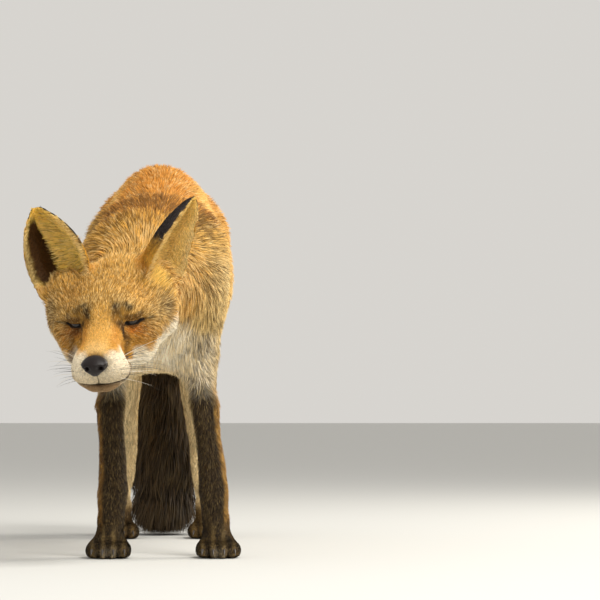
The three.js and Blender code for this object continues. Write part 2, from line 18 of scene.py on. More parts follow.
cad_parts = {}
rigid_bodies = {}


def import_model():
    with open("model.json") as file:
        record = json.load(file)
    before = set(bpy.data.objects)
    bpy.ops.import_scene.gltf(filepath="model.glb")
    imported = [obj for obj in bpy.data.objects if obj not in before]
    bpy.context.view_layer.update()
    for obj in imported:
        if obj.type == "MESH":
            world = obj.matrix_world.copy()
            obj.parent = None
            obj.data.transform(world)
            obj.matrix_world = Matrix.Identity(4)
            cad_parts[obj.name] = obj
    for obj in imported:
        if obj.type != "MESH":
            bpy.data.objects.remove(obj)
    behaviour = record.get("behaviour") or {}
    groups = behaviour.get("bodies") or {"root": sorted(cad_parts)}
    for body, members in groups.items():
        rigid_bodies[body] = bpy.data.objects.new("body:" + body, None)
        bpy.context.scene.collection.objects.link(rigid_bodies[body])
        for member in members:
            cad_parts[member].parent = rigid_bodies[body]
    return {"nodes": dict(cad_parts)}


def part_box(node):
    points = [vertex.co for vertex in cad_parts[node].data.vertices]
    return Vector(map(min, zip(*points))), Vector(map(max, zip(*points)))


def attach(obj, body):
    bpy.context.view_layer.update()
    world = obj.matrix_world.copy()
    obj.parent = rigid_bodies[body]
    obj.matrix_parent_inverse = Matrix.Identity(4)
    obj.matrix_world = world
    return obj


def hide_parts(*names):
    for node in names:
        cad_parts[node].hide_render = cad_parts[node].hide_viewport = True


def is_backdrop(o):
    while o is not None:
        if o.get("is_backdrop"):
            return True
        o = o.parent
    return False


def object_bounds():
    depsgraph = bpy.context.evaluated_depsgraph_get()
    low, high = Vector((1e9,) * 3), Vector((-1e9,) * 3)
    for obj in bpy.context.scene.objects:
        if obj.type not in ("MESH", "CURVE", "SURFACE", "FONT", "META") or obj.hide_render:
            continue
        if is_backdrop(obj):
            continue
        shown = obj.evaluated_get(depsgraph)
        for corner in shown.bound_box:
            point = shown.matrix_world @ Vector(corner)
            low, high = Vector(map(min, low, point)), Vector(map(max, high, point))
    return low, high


for leftover in list(bpy.data.objects):
    bpy.data.objects.remove(leftover)
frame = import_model()
cad_low, cad_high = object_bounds()
MM = 0.001
print("frame", [round(v, 3) for v in cad_low], [round(v, 3) for v in cad_high])

# %% [markdown]
# ## Landmarks
# Two frames carry every measurement below. The body's frame has its origin on the floor between
# the forelegs. The head's frame has its origin between the eyes, with x to the fox's left, y back
# along the skull and z up through the crown. Both are in millimetres, because hair is.
# The eyes and the nose fix the head: from the eyes, the middle of the nose pad lies 80.3 mm forward
# and 16.2 mm down.

# %% Landmarks
def middle(node):
    low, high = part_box(node)
    return np.array((low + high) / 2)


def unit(v):
    return v / np.maximum(np.linalg.norm(v, axis=-1, keepdims=True), 1e-12)


HEEL_TO_ORIGIN = 12.5 * MM  # the body's origin lies this far in front of the left forepaw's heel
paws = {name: np.array(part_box(name)) for name in
        ("forepaw_left", "forepaw_right", "hindpaw_left", "hindpaw_right")}
paw_x = (middle("forepaw_left")[0] + middle("forepaw_right")[0]) / 2
BODY_AT = np.array([paw_x, paws["forepaw_left"][1][1] - HEEL_TO_ORIGIN, 0.0])

eyes = {"left": middle("eye_left"), "right": middle("eye_right")}
between = (eyes["left"] + eyes["right"]) / 2
to_nose = middle("nose") - between
head_x = unit(eyes["left"] - eyes["right"])
to_nose = unit(to_nose - head_x * (to_nose @ head_x))
upwards = np.cross(to_nose, head_x)
NOSE_AHEAD, NOSE_DOWN = 80.3, 16.2
DROP = math.atan2(NOSE_DOWN, NOSE_AHEAD)
head_y = -(to_nose * math.cos(DROP) + upwards * math.sin(DROP))
head_z = np.cross(head_x, head_y)
HEAD_AXES = np.stack([head_x, head_y, head_z])  # rows
HEAD_AT = between - (head_y + head_z) * MM  # the eyes' middles lie at y 1 and z 1


def to_body(p):
    return (p - BODY_AT) / MM


def from_body(p):
    return np.asarray(p, float) * MM + BODY_AT


def to_head(p):
    return (p - HEAD_AT) @ HEAD_AXES.T / MM


def from_head(p):
    return np.asarray(p, float) * MM @ HEAD_AXES + HEAD_AT


def paw_box(corners):
    """A paw's lowest and highest corner and its middle line, in the body's frame."""
    low, high = to_body(corners)
    return low, high, (low[0] + high[0]) / 2


PAW_BOXES = [paw_box(corners) for corners in paws.values()]
print("head at", HEAD_AT.round(4), "nose in its frame", to_head(middle("nose")).round(1))
for side in eyes:
    print("eye", side, to_head(eyes[side]).round(1))

# %% [markdown]
# ## Small tools
# `smooth` is the usual smooth step between two limits. `bump_at` is a soft hill of height 1 around
# a value. `new_object` turns arrays into a mesh object, and `relax` evens out a surface by moving each
# vertex towards the mean of its neighbours, by its own weight.

# %% Small tools
FINE = 1.0  # share of the coat made while trying things


def smooth(low, high, x):
    t = np.clip((x - low) / (high - low), 0, 1)
    return t * t * (3 - 2 * t)


def bump_at(centre, width, x):
    return np.exp(-(((x - centre) / width) ** 2))


def ball_at(centre, radius, p):
    return np.exp(-np.sum(((p - np.array(centre, float)) / radius) ** 2, axis=1))


def placed(name, data):
    """A new object of the scene, with its place in its data."""
    made = bpy.data.objects.new(name, data)
    bpy.context.scene.collection.objects.link(made)
    return made


def new_object(name, verts, faces):
    mesh = bpy.data.meshes.new(name)
    mesh.from_pydata(np.asarray(verts, float), [], faces)
    mesh.validate()
    mesh.shade_smooth()
    return placed(name, mesh)


def read(rows, key, width, kind=np.float32):
    values = np.empty(len(rows) * width, kind)
    rows.foreach_get(key, values)
    return values.reshape(-1, width)


def write(rows, key, values, kind=np.float32):
    rows.foreach_set(key, np.asarray(values).astype(kind).ravel())


def points_of(piece):
    return read(piece.data.vertices, "co", 3).astype(float)


def set_points(piece, co):
    write(piece.data.vertices, "co", co)
    piece.data.update()


def normals_of(piece):
    return read(piece.data.vertex_normals, "vector", 3).astype(float)


def edges_of(piece):
    return read(piece.data.edges, "vertices", 2, np.int32)


def tube_faces(at):
    """Quads between the rows of a grid of point numbers, each row a closed ring."""
    ahead = np.roll(at, -1, axis=1)
    return np.stack([at[:-1], ahead[:-1], ahead[1:], at[1:]], -1).reshape(-1, 4)


def neighbour_mean(values, edges, count):
    a, b = edges[:, 0], edges[:, 1]
    valence = np.bincount(a, minlength=count) + np.bincount(b, minlength=count)
    columns = []
    for column in np.atleast_2d(values.T):
        columns.append(np.bincount(a, column[b], count) + np.bincount(b, column[a], count))
    mean = np.stack(columns, axis=1) / np.maximum(valence, 1)[:, None]
    return mean.reshape(values.shape)


def soften(values, edges, weight, rounds):
    weight = np.broadcast_to(weight, len(values)).reshape(-1, *[1] * (values.ndim - 1))
    for _ in range(rounds):
        values = values + weight * (neighbour_mean(values, edges, len(values)) - values)
    return values


def relax(piece, weight, rounds, give_back=True):
    """Softens the surface, then gives back the broad shrinking, so that only small shapes melt."""
    co, edges = points_of(piece), edges_of(piece)
    soft = soften(co, edges, weight, rounds)
    if give_back:
        soft += soften(co - soft, edges, weight, rounds)
    set_points(piece, soft)


# %% [markdown]
# ## Ears
# An ear is a cupped leaf: v runs up from the root and u across, from the outer edge at -1 to the
# inner edge at +1. `aim` is the angle by which an ear's opening is turned out from straight ahead.
# Points near an ear are given their own u and v, which side of the leaf they are on, and how near
# they are to it. The markings and the lie of the hair on the ears are worked out from those.

# %% Ears
SIDES = {"left": 1, "right": -1}
EAR = {"half": 31, "cup": 1.05, "thick": 4.0}
EARS = {
    "left": {"root": (41, 63, 16), "tip": (86, 87, 90), "aim": 60, "tall": 95, "outer": 0.51},
    "right": {"root": (-43, 60, 16), "tip": (-70, 82, 92), "aim": 4, "tall": 87, "outer": 0.95},
}
LOBE = {"left": 0.5, "right": 0}  # how much wider the outer edge is low down


def ear_axes(side):
    """The ear's root, the way up it, the way its opening faces, and the way from -1 to +1 across it."""
    root = np.array(EARS[side]["root"], float)
    axis = unit(EARS[side]["tip"] - root)
    turn = math.radians(EARS[side]["aim"] * SIDES[side])
    front = np.array([math.sin(turn), -math.cos(turn), 0])
    front = unit(front - axis * (front @ axis))
    return root, axis, front, -SIDES[side] * np.cross(axis, front)


def leaf(side, u, v):
    """Points of the ear's middle surface in the head's frame."""
    root, axis, front, across = ear_axes(side)
    u, v = np.broadcast_arrays(np.asarray(u, float), np.asarray(v, float))
    half = EAR["half"] * (1 - v**2.7) ** 0.7 * (0.86 + 0.36 * v * (1.3 - v))
    bow = 6 * np.sin(math.pi * np.minimum(1, v * 1.1)) * np.maximum(u, 0)
    outer = EARS[side]["outer"] * (1 + LOBE[side] * bump_at(0.3, 0.16, v))
    over = (half * u * np.where(u < 0, outer, 1) + bow)[..., None] * across
    deep = (EAR["cup"] * half * (np.abs(u) ** 2.2 - 0.55))[..., None] * front
    return root + (EARS[side]["tall"] * (v * 1.08 - 0.14))[..., None] * axis + over + deep


def leaf_normal(side, u, v):
    """The way out of the back of the leaf."""
    e = 0.02
    du = leaf(side, np.minimum(u + e, 1), v) - leaf(side, np.maximum(u - e, -1), v)
    dv = leaf(side, u, np.minimum(v + e, 0.985)) - leaf(side, u, np.maximum(v - e, 0))
    return unit(np.cross(du, dv)) * SIDES[side]


def leaf_solid(side):
    nu, nv = 48, 44
    v, u = np.meshgrid(np.linspace(0, 0.985, nv + 1), np.linspace(-1, 1, nu + 1), indexing="ij")
    rim = np.minimum(1, 0.6 + np.minimum(2.2 * (1 - np.abs(u)), 4 * (1 - v)))
    middle_points, outward = leaf(side, u, v), leaf_normal(side, u, v)
    half = (rim * EAR["thick"] / 2)[..., None]
    sheets = [(middle_points + outward * half * face).reshape(-1, 3) for face in (1, -1)]
    count = (nu + 1) * (nv + 1)
    at = np.arange(count).reshape(nv + 1, nu + 1)
    quads = np.stack([at[:-1, :-1], at[:-1, 1:], at[1:, 1:], at[1:, :-1]], -1).reshape(-1, 4)
    edge = np.concatenate([at[0, :], at[1:, -1], at[-1, -2::-1], at[-2::-1, 0]])
    rim_quads = np.stack([edge[1:], edge[:-1], edge[:-1] + count, edge[1:] + count], -1)
    faces = np.concatenate([quads, quads[:, ::-1] + count, rim_quads])
    if side == "right":
        faces = faces[:, ::-1]
    return new_object("leaf_" + side, from_head(np.concatenate(sheets)), faces.tolist())


def tree_of(points):
    tree = KDTree(len(points))
    for n, point in enumerate(points):
        tree.insert(point, n)
    tree.balance()
    return tree


def ear_map(step=46):
    """A tree of points on both leaves, with the place, normal, u and v of each."""
    v, u = [a.ravel() for a in np.meshgrid(np.linspace(0, 0.97, step), np.linspace(-1, 1, step))]
    points = np.concatenate([from_head(leaf(side, u, v)) for side in EARS])
    outward = np.concatenate([leaf_normal(side, u, v) @ HEAD_AXES for side in EARS])
    return tree_of(points), points, outward, np.tile(u, 2), np.tile(v, 2)


EAR_MAP = ear_map()


def ear_fields(p):
    """For each point: u, v, the face it is on (1 hollow side, -1 back) and how much it is ear."""
    tree, points, outward, u, v = EAR_MAP
    fields = np.zeros((len(p), 4))
    h = to_head(p)
    for i in np.flatnonzero((h[:, 1] > 20) & (h[:, 1] < 140) & (h[:, 2] > 0) & (h[:, 2] < 120)):
        _, n, far = tree.find(p[i])
        near = smooth(9, 4, far / MM) * smooth(0.02, 0.22, v[n])
        if near > 0:
            fields[i] = u[n], v[n], -np.sign((p[i] - points[n]) @ outward[n]), near
    return fields


# %% [markdown]
# ## The skin
# The flesh nodes are copied, joined and remeshed into one even surface, so the thin cuts between
# them close and no seam shows. The ears go in as smooth leaves. The solids are faceted, and relaxing
# melts the facets: much on the trunk, whose facets are large, and little on the head and paws.
# The solids reach to the tips of the coat. The skin lies inside them by the coat's depth, which is
# some 9 mm over the back and 20 mm on the brush, but under 2 mm on the face and paws.
# It sinks in small steps with a little relaxing between them, so that it never folds.

# %% The skin
FLESH = [n for n in frame["nodes"] if n.split("_")[0] not in ("eye", "nose")]
VOXEL = 2.4 * MM


def joined(pieces, name):
    with bpy.context.temp_override(active_object=pieces[0], selected_editable_objects=pieces):
        bpy.ops.object.join()
    pieces[0].name = name
    pieces[0].data.name = name
    return pieces[0]


def copy_of(node):
    copy = frame["nodes"][node].copy()
    copy.data = copy.data.copy()
    copy.parent = None
    copy.hide_render = False
    bpy.context.scene.collection.objects.link(copy)
    return copy


def apply_modifier(piece, kind, **settings):
    modifier = piece.modifiers.new(kind.title(), kind)
    for key, value in settings.items():
        setattr(modifier, key, value)
    evaluated = piece.evaluated_get(bpy.context.evaluated_depsgraph_get())
    mesh = bpy.data.meshes.new_from_object(evaluated)
    piece.modifiers.remove(modifier)
    piece.data = mesh


skin = joined([copy_of(n) for n in FLESH if "ear" not in n] + [leaf_solid(s) for s in EARS], "skin")
skin.matrix_world.identity()
apply_modifier(skin, "REMESH", mode="VOXEL", voxel_size=VOXEL)
print("skin", len(skin.data.vertices), "vertices")


def regions(p, ear):
    """Soft shares of the regions at points of the frame: head, muzzle, ear, paw, leg, tail, trunk."""
    b, h = to_body(p), to_head(p)
    ear = ear[:, 3]
    head = smooth(96, 66, h[:, 1] + 0.3 * np.abs(h[:, 0])) * smooth(-40, -70, b[:, 1]) * (1 - ear)
    tail = smooth(436, 458, b[:, 1]) * smooth(404, 380, b[:, 2])
    hanging = smooth(436, 442, b[:, 1]) * smooth(32, 24, np.abs(b[:, 0] - 3))
    tail = np.maximum(tail, hanging * smooth(230, 205, b[:, 2]))
    leg = smooth(186, 150, b[:, 2]) * smooth(-75, -60, b[:, 1]) * (1 - tail)
    leg = np.maximum(leg, smooth(236, 180, b[:, 2]) * smooth(300, 320, b[:, 1]) * (1 - tail))
    share = {"ear": ear, "head": head, "tail": tail, "leg": leg}
    share["paw"] = smooth(46, 30, b[:, 2]) * leg
    share["muzzle"] = smooth(0, -30, h[:, 1]) * head
    share["trunk"] = np.clip(1 - ear - head - tail - leg, 0, 1)
    return share


def coat_depth(p, r):
    """How far the skin lies inside the tips of the coat, in millimetres."""
    b, h = to_body(p), to_head(p)
    trunk = 7.5 + 2.5 * smooth(300, 400, b[:, 2]) + 3 * bump_at(-40, 60, b[:, 1])
    depth = trunk * r["trunk"] + 3.2 * r["leg"] * (1 - r["paw"]) + 1.3 * r["paw"]
    cheek = smooth(20, 50, np.abs(h[:, 0])) * smooth(5, 30, h[:, 1])
    depth += (1.0 + 3.0 * smooth(0, 70, h[:, 1]) + 3 * cheek) * r["head"] + 0.7 * r["ear"]
    low_end = np.maximum(smooth(0, 70, b[:, 2]), 0.3)  # the brush thins where it lies on the floor
    return depth + 20 * r["tail"] * low_end


ear = ear_fields(points_of(skin))
share = regions(points_of(skin), ear)
small = np.clip(share["head"] + share["ear"] + share["paw"] + 0.5 * share["leg"], 0, 1)
relax(skin, 0.6, 5)
relax(skin, 0.6 * (1 - 0.9 * small), 60)
relax(skin, 0.5 * share["head"], 12)

depth = coat_depth(points_of(skin), share) * MM
depth = soften(depth, edges_of(skin), 0.7, 8)
STEPS = 10
for _ in range(STEPS):
    set_points(skin, points_of(skin) - normals_of(skin) * (depth / STEPS)[:, None])
    relax(skin, 0.3 * np.clip(depth / (6 * MM), 0, 1), 3, give_back=False)
print("skin sunk by", (depth.min() / MM).round(1), "to", (depth.max() / MM).round(1), "mm")

# %% [markdown]
# ## Features of the face
# Every feature has a place in millimetres in the head's frame. `push` says how far the skin moves out
# along its normal: a sum of soft hills for whisker pads, brow, cheekbone and chin, with furrows for
# the shut mouth, the groove under the nose, the tear groove and the gaps between the toes.
# `eye_frame` gives a point's place round an eye: a along the slit, b across it and c along the eye's
# gaze. The slit slants up outwards.

# %% Features of the face
EYE = {"r": 9.5, "at": (23.5, 1, 1), "out": 35, "down": 11, "slant": -2, "long": 10.6, "open": 1.2}
TOE_WIDTH = 10.2
MOUTH = [(0, -66, -38.3), (6, -66, -38), (13, -65.5, -37.7), (19, -61, -37.5), (23, -54, -37.3),
         (26, -40, -35.5), (27, -32, -33)]
PHILTRUM = [(0, -78, -25), (0, -74, -30), (0, -66, -38)]
TEAR = [(17.2, -14.5, -0.5), (17.2, -20, -4.5), (18.6, -19, -11)]


HILLS = [  # height, place and radius, the same on both sides
    (3.0, (16, -58, -28), 11),  # whisker pad
    (1.2, (9, -68, -30), 7),
    (-1.8, (20, -30, -22), (7, 8, 8)),  # behind the whisker pad
    (2.0, (21, 4, 17), (12, 12, 6)),  # brow
    (1.8, (33, -2, -15), 10),  # cheekbone
    (-1.6, (13, -20, 5), (5, 10, 7)),  # hollow beside the bridge
    (-1.0, (0, 8, 24), (4, 18, 8)),  # furrow of the forehead
    (3.4, (6, -62, -46), (10, 10, 6)),  # chin
]


def eye_frame(h, sign):
    """Head-frame points as (a, b, c) round the eye on that side: a outwards along the slit."""
    out, down, slant = (math.radians(EYE[k]) for k in ("out", "down", "slant"))
    ahead = np.array([math.sin(out) * sign, -math.cos(out), 0])
    flat = np.array([math.cos(out) * sign, math.sin(out), 0])
    gaze = ahead * math.cos(down) - np.array([0, 0, math.sin(down)])
    up = ahead * math.sin(down) + np.array([0, 0, math.cos(down)])
    along = flat * math.cos(slant) + up * math.sin(slant)
    over = up * math.cos(slant) - flat * math.sin(slant)
    centre = np.array(EYE["at"], float) * (sign, 1, 1)
    return np.stack([(h - centre) @ w for w in (along, over, gaze)], -1), centre, (along, over, gaze)


def from_line(line, p):
    """Distance from points to a polyline, in the same units."""
    best = np.full(len(p), 1e9)
    for a, b in zip(line[:-1], line[1:]):
        a, b = np.array(a, float), np.array(b, float)
        t = np.clip((p - a) @ (b - a) / ((b - a) @ (b - a)), 0, 1)
        best = np.minimum(best, np.linalg.norm(p - a - t[:, None] * (b - a), axis=1))
    return best


def mirrored(h):
    return h * np.where(h[:, :1] < 0, [[-1, 1, 1]], [[1, 1, 1]])


def push(h, b):
    m = mirrored(h)
    face = sum(height * ball_at(at, radius, m) for height, at, radius in HILLS)
    upper_lip = [(x, y, z + 3.2) for x, y, z in MOUTH]
    furrows = (-3.2, 1.5, MOUTH), (1.2, 1.6, upper_lip), (-1.6, 1.1, PHILTRUM), (-1.4, 1.5, TEAR)
    for height, wide, line in furrows:
        face += height * bump_at(0, wide, from_line(line, m))
    toes = np.zeros(len(b))
    for low, high, mid in PAW_BOXES:
        in_paw = smooth(0.30, 0.12, (b[:, 1] - low[1]) / (high[1] - low[1])) * smooth(26, 18, b[:, 2])
        in_paw *= smooth(32, 27, np.abs(b[:, 0] - mid)) * (np.abs(b[:, 1] - low[1]) < 40)
        gaps = sum(bump_at(mid + k * TOE_WIDTH, 1.6, b[:, 0]) for k in (-1, 0, 1))
        toes -= 3.2 * gaps * in_paw
    return face * smooth(90, 60, h[:, 1]) * smooth(-20, -60, b[:, 1]) + toes


print("mouth of", len(MOUTH), "points and", len(HILLS), "hills on each side of the face")

# %% [markdown]
# ## The face
# The skin of the face is divided finer, pushed into shape, and drawn in round each eye until it lies
# on the eyeball. Inside the slit it sinks behind the ball's surface.

# %% Shape the face
def subdivide_where(piece, keep):
    bm = bmesh.new()
    bm.from_mesh(piece.data)
    bm.verts.ensure_lookup_table()
    chosen = [e for e in bm.edges if keep[e.verts[0].index] and keep[e.verts[1].index]]
    bmesh.ops.subdivide_edges(bm, edges=chosen, cuts=1, use_grid_fill=True)
    bmesh.ops.triangulate(bm, faces=[f for f in bm.faces if len(f.verts) > 4])
    bm.to_mesh(piece.data)
    bm.free()


co = points_of(skin)
h, b = to_head(co), to_body(co)
subdivide_where(skin, (h[:, 1] < 34) & (b[:, 1] < -110) & (np.abs(h[:, 0]) < 48) & (h[:, 2] < 30))
co = points_of(skin)
relax(skin, 0.5 * smooth(40, 30, to_head(co)[:, 1]) * (to_body(co)[:, 1] < -100), 2)

tree = BVHTree.FromObject(skin, bpy.context.evaluated_depsgraph_get())


def nearest_on(tree, place):
    """The point of a surface nearest to a place, both in the head's frame."""
    return to_head(np.array(tree.find_nearest(Vector(from_head(place)))[0]))


def on_surface(line):
    return [tuple(nearest_on(tree, place)) for place in line]


MOUTH, PHILTRUM, TEAR = on_surface(MOUTH), on_surface(PHILTRUM), on_surface(TEAR)
co = points_of(skin)
h = to_head(co)
co += normals_of(skin) * push(h, to_body(co))[:, None] * MM
set_points(skin, co)

h = to_head(points_of(skin))
for sign in SIDES.values():
    place, centre, _ = eye_frame(h, sign)
    a, across, ahead = place.T
    near = smooth(1.75, 0.95, np.hypot(a / 12.5, across / 8.0)) * smooth(-4, 2, ahead)
    away = np.linalg.norm(h - centre, axis=1)
    hug = EYE["r"] + 1.1 + 0.7 * smooth(0.9, 1.6, np.hypot(a / 12.5, across / 8.0))
    slit = np.clip(EYE["open"] * 2.1 * (1 - (a / (EYE["long"] + 0.6)) ** 2), 0, None)
    inside = smooth(slit + 0.9, slit - 0.2, np.abs(across)) * (np.abs(a) < EYE["long"] + 0.6)
    inside = inside * (ahead > 0)
    radius = away + near * (hug - away)
    radius += inside * (EYE["r"] - 1.2 - radius)
    h = centre + (h - centre) * (radius / np.maximum(away, 1e-6))[:, None]
set_points(skin, from_head(h))
print("skin after the face", len(skin.data.vertices), "vertices")

# %% [markdown]
# ## Lids
# Each lid ring starts inside the slit, rolls over a rounded dark margin and runs out over the
# eyeball until it dips under the skin. A crease above the slit and a pouch below it are part of the
# ring's radius. The rings are joined to the skin.

# %% Lids
LID_TURNS, LID_ROWS = 96, 22
LID_WIDE = 6.4  # from the slit to where the lid has dipped under the skin


def lid_ring(sign):
    _, centre, (along, over, gaze) = eye_frame(np.zeros((1, 3)), sign)
    turn = np.linspace(0, 2 * math.pi, LID_TURNS, endpoint=False)
    verts = []
    for row in np.linspace(0, 1, LID_ROWS):
        spread = row * LID_WIDE
        a = np.cos(turn) * (EYE["long"] + 0.25 * spread)
        corner = np.abs(np.cos(turn))
        almond = EYE["open"] * (1 - corner**2.2) * np.sign(np.sin(turn))
        b = almond + np.sin(turn) * spread * (1 - 0.35 * corner**4)
        b -= 0.5 * (1 - corner**2)  # the lower lid hangs a little
        upper = np.sin(turn) > 0
        roll = smooth(0, 0.16, row)
        lift = -0.9 + 2.3 * roll - 0.5 * row  # from inside the slit, over the margin, then down
        crease = np.where(upper, bump_at(2.6, 0.5, spread), 0.7 * bump_at(3.4, 0.6, spread))
        lift = lift - 0.75 * crease * (1 - corner**6)
        lift += 0.5 * np.where(upper, bump_at(4.2, 1.1, spread), bump_at(2.2, 1.0, spread))
        if row > 0.8:
            lift = lift - 9 * (row - 0.8)
        size = np.hypot(a, b)
        bend = np.minimum(size / EYE["r"], 1.5)
        way = np.cos(bend)[:, None] * gaze + (np.sin(bend) / size)[:, None] * (
            a[:, None] * along + b[:, None] * over)
        verts.append(centre + way * (EYE["r"] + lift)[:, None])
    faces = tube_faces(np.arange(LID_TURNS * LID_ROWS).reshape(LID_ROWS, LID_TURNS))
    if sign < 0:
        faces = faces[:, ::-1]
    return new_object("lid", from_head(np.concatenate(verts)), faces.tolist())


skin = joined([skin] + [lid_ring(sign) for sign in SIDES.values()], "skin")
print("skin with lids", len(skin.data.polygons), "faces")

# %% [markdown]
# ## Thin the skin out and unwrap it
# Flat stretches need few faces, so the skin is thinned to about 150,000 triangles. Its unwrap is made
# from the shape alone, and every tuft later takes its place on the map from where its root stands.

# %% Thin and unwrap
SKIN_TRIANGLES = 150000
ratio = min(1, SKIN_TRIANGLES / (2 * len(skin.data.polygons)))
apply_modifier(skin, "DECIMATE", ratio=ratio, use_collapse_triangulate=True)
skin.data.shade_smooth()
with bpy.context.temp_override(active_object=skin, object=skin, selected_objects=[skin]):
    bpy.context.view_layer.objects.active = skin
    skin.select_set(True)
    bpy.ops.object.mode_set(mode="EDIT")
    bpy.ops.mesh.select_all(action="SELECT")
    bpy.ops.uv.smart_project(angle_limit=math.radians(75), island_margin=0.0005)
    bpy.ops.object.mode_set(mode="OBJECT")
skin.data.uv_layers[0].name = "OFBake"
print("skin thinned to", len(skin.data.polygons), "triangles")

# %% [markdown]
# ## Where a hair grows and what it needs to know
# A `Spots` value holds, for many points at once, the place in both frames, the skin's normal, the
# ear's fields and the shares of the regions. The same class serves the skin's own vertices and the
# roots of the tufts, so the skin and the coat can't disagree.

# %% Spots
edges = edges_of(skin)
skin_co, skin_n = points_of(skin), normals_of(skin)
ear = ear_fields(skin_co)
trunk_rows = to_body(skin_co)
on_axis = (np.abs(trunk_rows[:, 0]) < 26) & (trunk_rows[:, 1] > -70) & (trunk_rows[:, 1] < 440)
slabs = np.arange(-60, 440, 20)
back_at, belly_at = [], []
for y in slabs:
    z = trunk_rows[on_axis & (np.abs(trunk_rows[:, 1] - y) < 12), 2]
    back_at.append(z.max())
    belly_at.append(z[z > 150].min())


class Spots:
    """Points on the skin with everything the markings and the lie of the coat depend on."""

    def __init__(self, p, n, ear):
        self.p, self.n = p, n
        self.b, self.h = to_body(p), to_head(p)
        self.m = mirrored(self.h)
        self.side = np.sign(self.h[:, 0])
        self.x, self.y, self.z = self.b.T
        self.share = regions(p, ear)
        self.u, self.v, self.hollow = ear[:, 0], ear[:, 1], smooth(-0.3, 0.3, ear[:, 2])
        back, belly = np.interp(self.y, slabs, back_at), np.interp(self.y, slabs, belly_at)
        self.rise = np.clip((self.z - belly) / (back - belly), 0, 1)
        self.outward = n[:, 0] * np.sign(self.x)
        self.from_slit = np.full(len(p), 1e9)  # millimetres to the slit between the lids
        self.eye_a, self.eye_b = np.zeros((2, len(p)))  # along and across the nearer slit
        for sign in SIDES.values():
            a, b, c = eye_frame(self.h, sign)[0].T
            over = np.clip(np.abs(a) - EYE["long"], 0, None)
            lip = EYE["open"] * (1 - np.clip(np.abs(a) / EYE["long"], 0, 1) ** 2.2)
            off = np.hypot(over, np.clip(np.abs(b + 0.4) - lip, 0, None)) + 99 * (c < -6)
            closer = off < self.from_slit
            self.from_slit = np.where(closer, off, self.from_slit)
            self.eye_a = np.where(closer, a, self.eye_a)
            self.eye_b = np.where(closer, b, self.eye_b)
        self.from_mouth = from_line(MOUTH, self.m)
        self.toe = np.zeros(len(p))  # 1 along the middle of a toe, -1 in the gap between two
        for low, _, mid in PAW_BOXES:
            across = (self.x - mid) / TOE_WIDTH
            on_toes = (np.abs(across) < 2.6) * smooth(42, 30, np.abs(self.y - low[1]))
            self.toe -= np.cos(2 * math.pi * across) * on_toes * smooth(36, 26, self.z)
        from_nose = np.linalg.norm((self.h - (0, -79, -15)) / (13.2, 10, 11), axis=1)
        self.on_nose = smooth(1.12, 0.9, from_nose)

    def ball(self, centre, radius):
        """A soft ball in the head's frame, the same on both sides."""
        return ball_at(centre, radius, self.m)


def ripple(p, wave, seed):
    """Smooth noise from -1 to 1 whose humps are about `wave` millimetres apart."""
    source = np.random.default_rng(seed)
    total = np.zeros(len(p))
    for _ in range(5):
        way = unit(source.normal(size=3)) * 2 * math.pi / (wave * source.uniform(0.7, 1.5)) / MM
        total += np.sin(p @ way + source.uniform(0, 6.3))
    return np.clip(total / 2.6, -1, 1)


# %% [markdown]
# ## Lie of the coat
# Hair streams back from the nose over the face, back and down over the body, down the legs and the
# brush, forwards over the toes and up the ears. Near the eyes it parts away from the slit. The field
# is laid on the skin's vertices, made tangent and softened, and each tuft reads it at its root.

# %% Lie of the coat
def by(share, way):
    """A direction for each point, as long as its share."""
    return share[:, None] * np.asarray(way, float)


def tangent(way, normal):
    return unit(way - normal * np.sum(way * normal, axis=1, keepdims=True))


def lie_on_head(s):
    h, ax = s.h, s.m[:, 0]
    sgn = np.where(h[:, 0] < 0, -1.0, 1.0)
    head = unit(h - (0, -84, -14))
    head += by(smooth(14, 36, ax) * smooth(10, -12, h[:, 2]), by(sgn, (0.5, 0, 0)) - (0, 0, 0.55))
    head += by(smooth(36, 48, ax) * smooth(6, -14, h[:, 2]), by(sgn, (0.9, 0, 0)) - (0, 0, 0.7))
    head += by(smooth(30, 60, h[:, 1]), (0, 0.9, 0.1))
    head += by(smooth(-34, -42, h[:, 2]), (0, 0.5, -0.9))
    for sign in SIDES.values():
        place, _, (along, over, _) = eye_frame(h, sign)
        a, b, c = place.T
        near = np.exp(-((a / 15) ** 2) - (b / 9) ** 2) * smooth(-4, 2, c)
        away = by(np.tanh(b / 1.5), over) * 2.2 + by(np.tanh((a + 6) / 8), along)
        head += by(1.5 * near, away)
    return head @ HEAD_AXES


def lie_on_ears(s):
    """On the hollow side hair streams away from a parting, and behind it runs up the ear."""
    pinna = np.zeros_like(s.h)
    for side, sign in SIDES.items():
        _, axis, _, across = ear_axes(side)
        inner = by(1.1 * (s.v - 0.28), axis) - by(1.2 * np.tanh((s.u + 0.62) / 0.12), across)
        outer = axis + by(0.5 * s.u, across)
        pinna += by(s.side == sign, by(s.hollow, inner) + by(1 - s.hollow, outer))
    return pinna @ HEAD_AXES


def lie_of(s):
    r = s.share
    down = 0.22 + 0.85 * smooth(0.85, 0.25, s.rise)
    body = np.stack([0.1 * np.sign(s.x), np.ones_like(down), -down], 1)
    body += by(smooth(10, -40, s.y) * smooth(0.75, 0.4, s.rise), (0, -0.6, -1.5))  # chest
    body += by(smooth(300, 350, s.y) * smooth(0.6, 0.2, s.rise), (0, 0, -1.0))  # thigh
    limb = by(r["paw"], (0, -1.6, 0.1)) + (0, 0.12, -1.0)
    brush = by(np.interp(s.z, (60, 260, 380), (-0.12, 0.05, 0.8)), (0, 1, 0)) - (0.12, 0, 1)
    way = by(r["head"], lie_on_head(s)) + by(r["trunk"], unit(body)) + by(r["leg"], limb)
    way += by(r["tail"], unit(brush)) + by(r["ear"], lie_on_ears(s))
    return tangent(way, s.n)


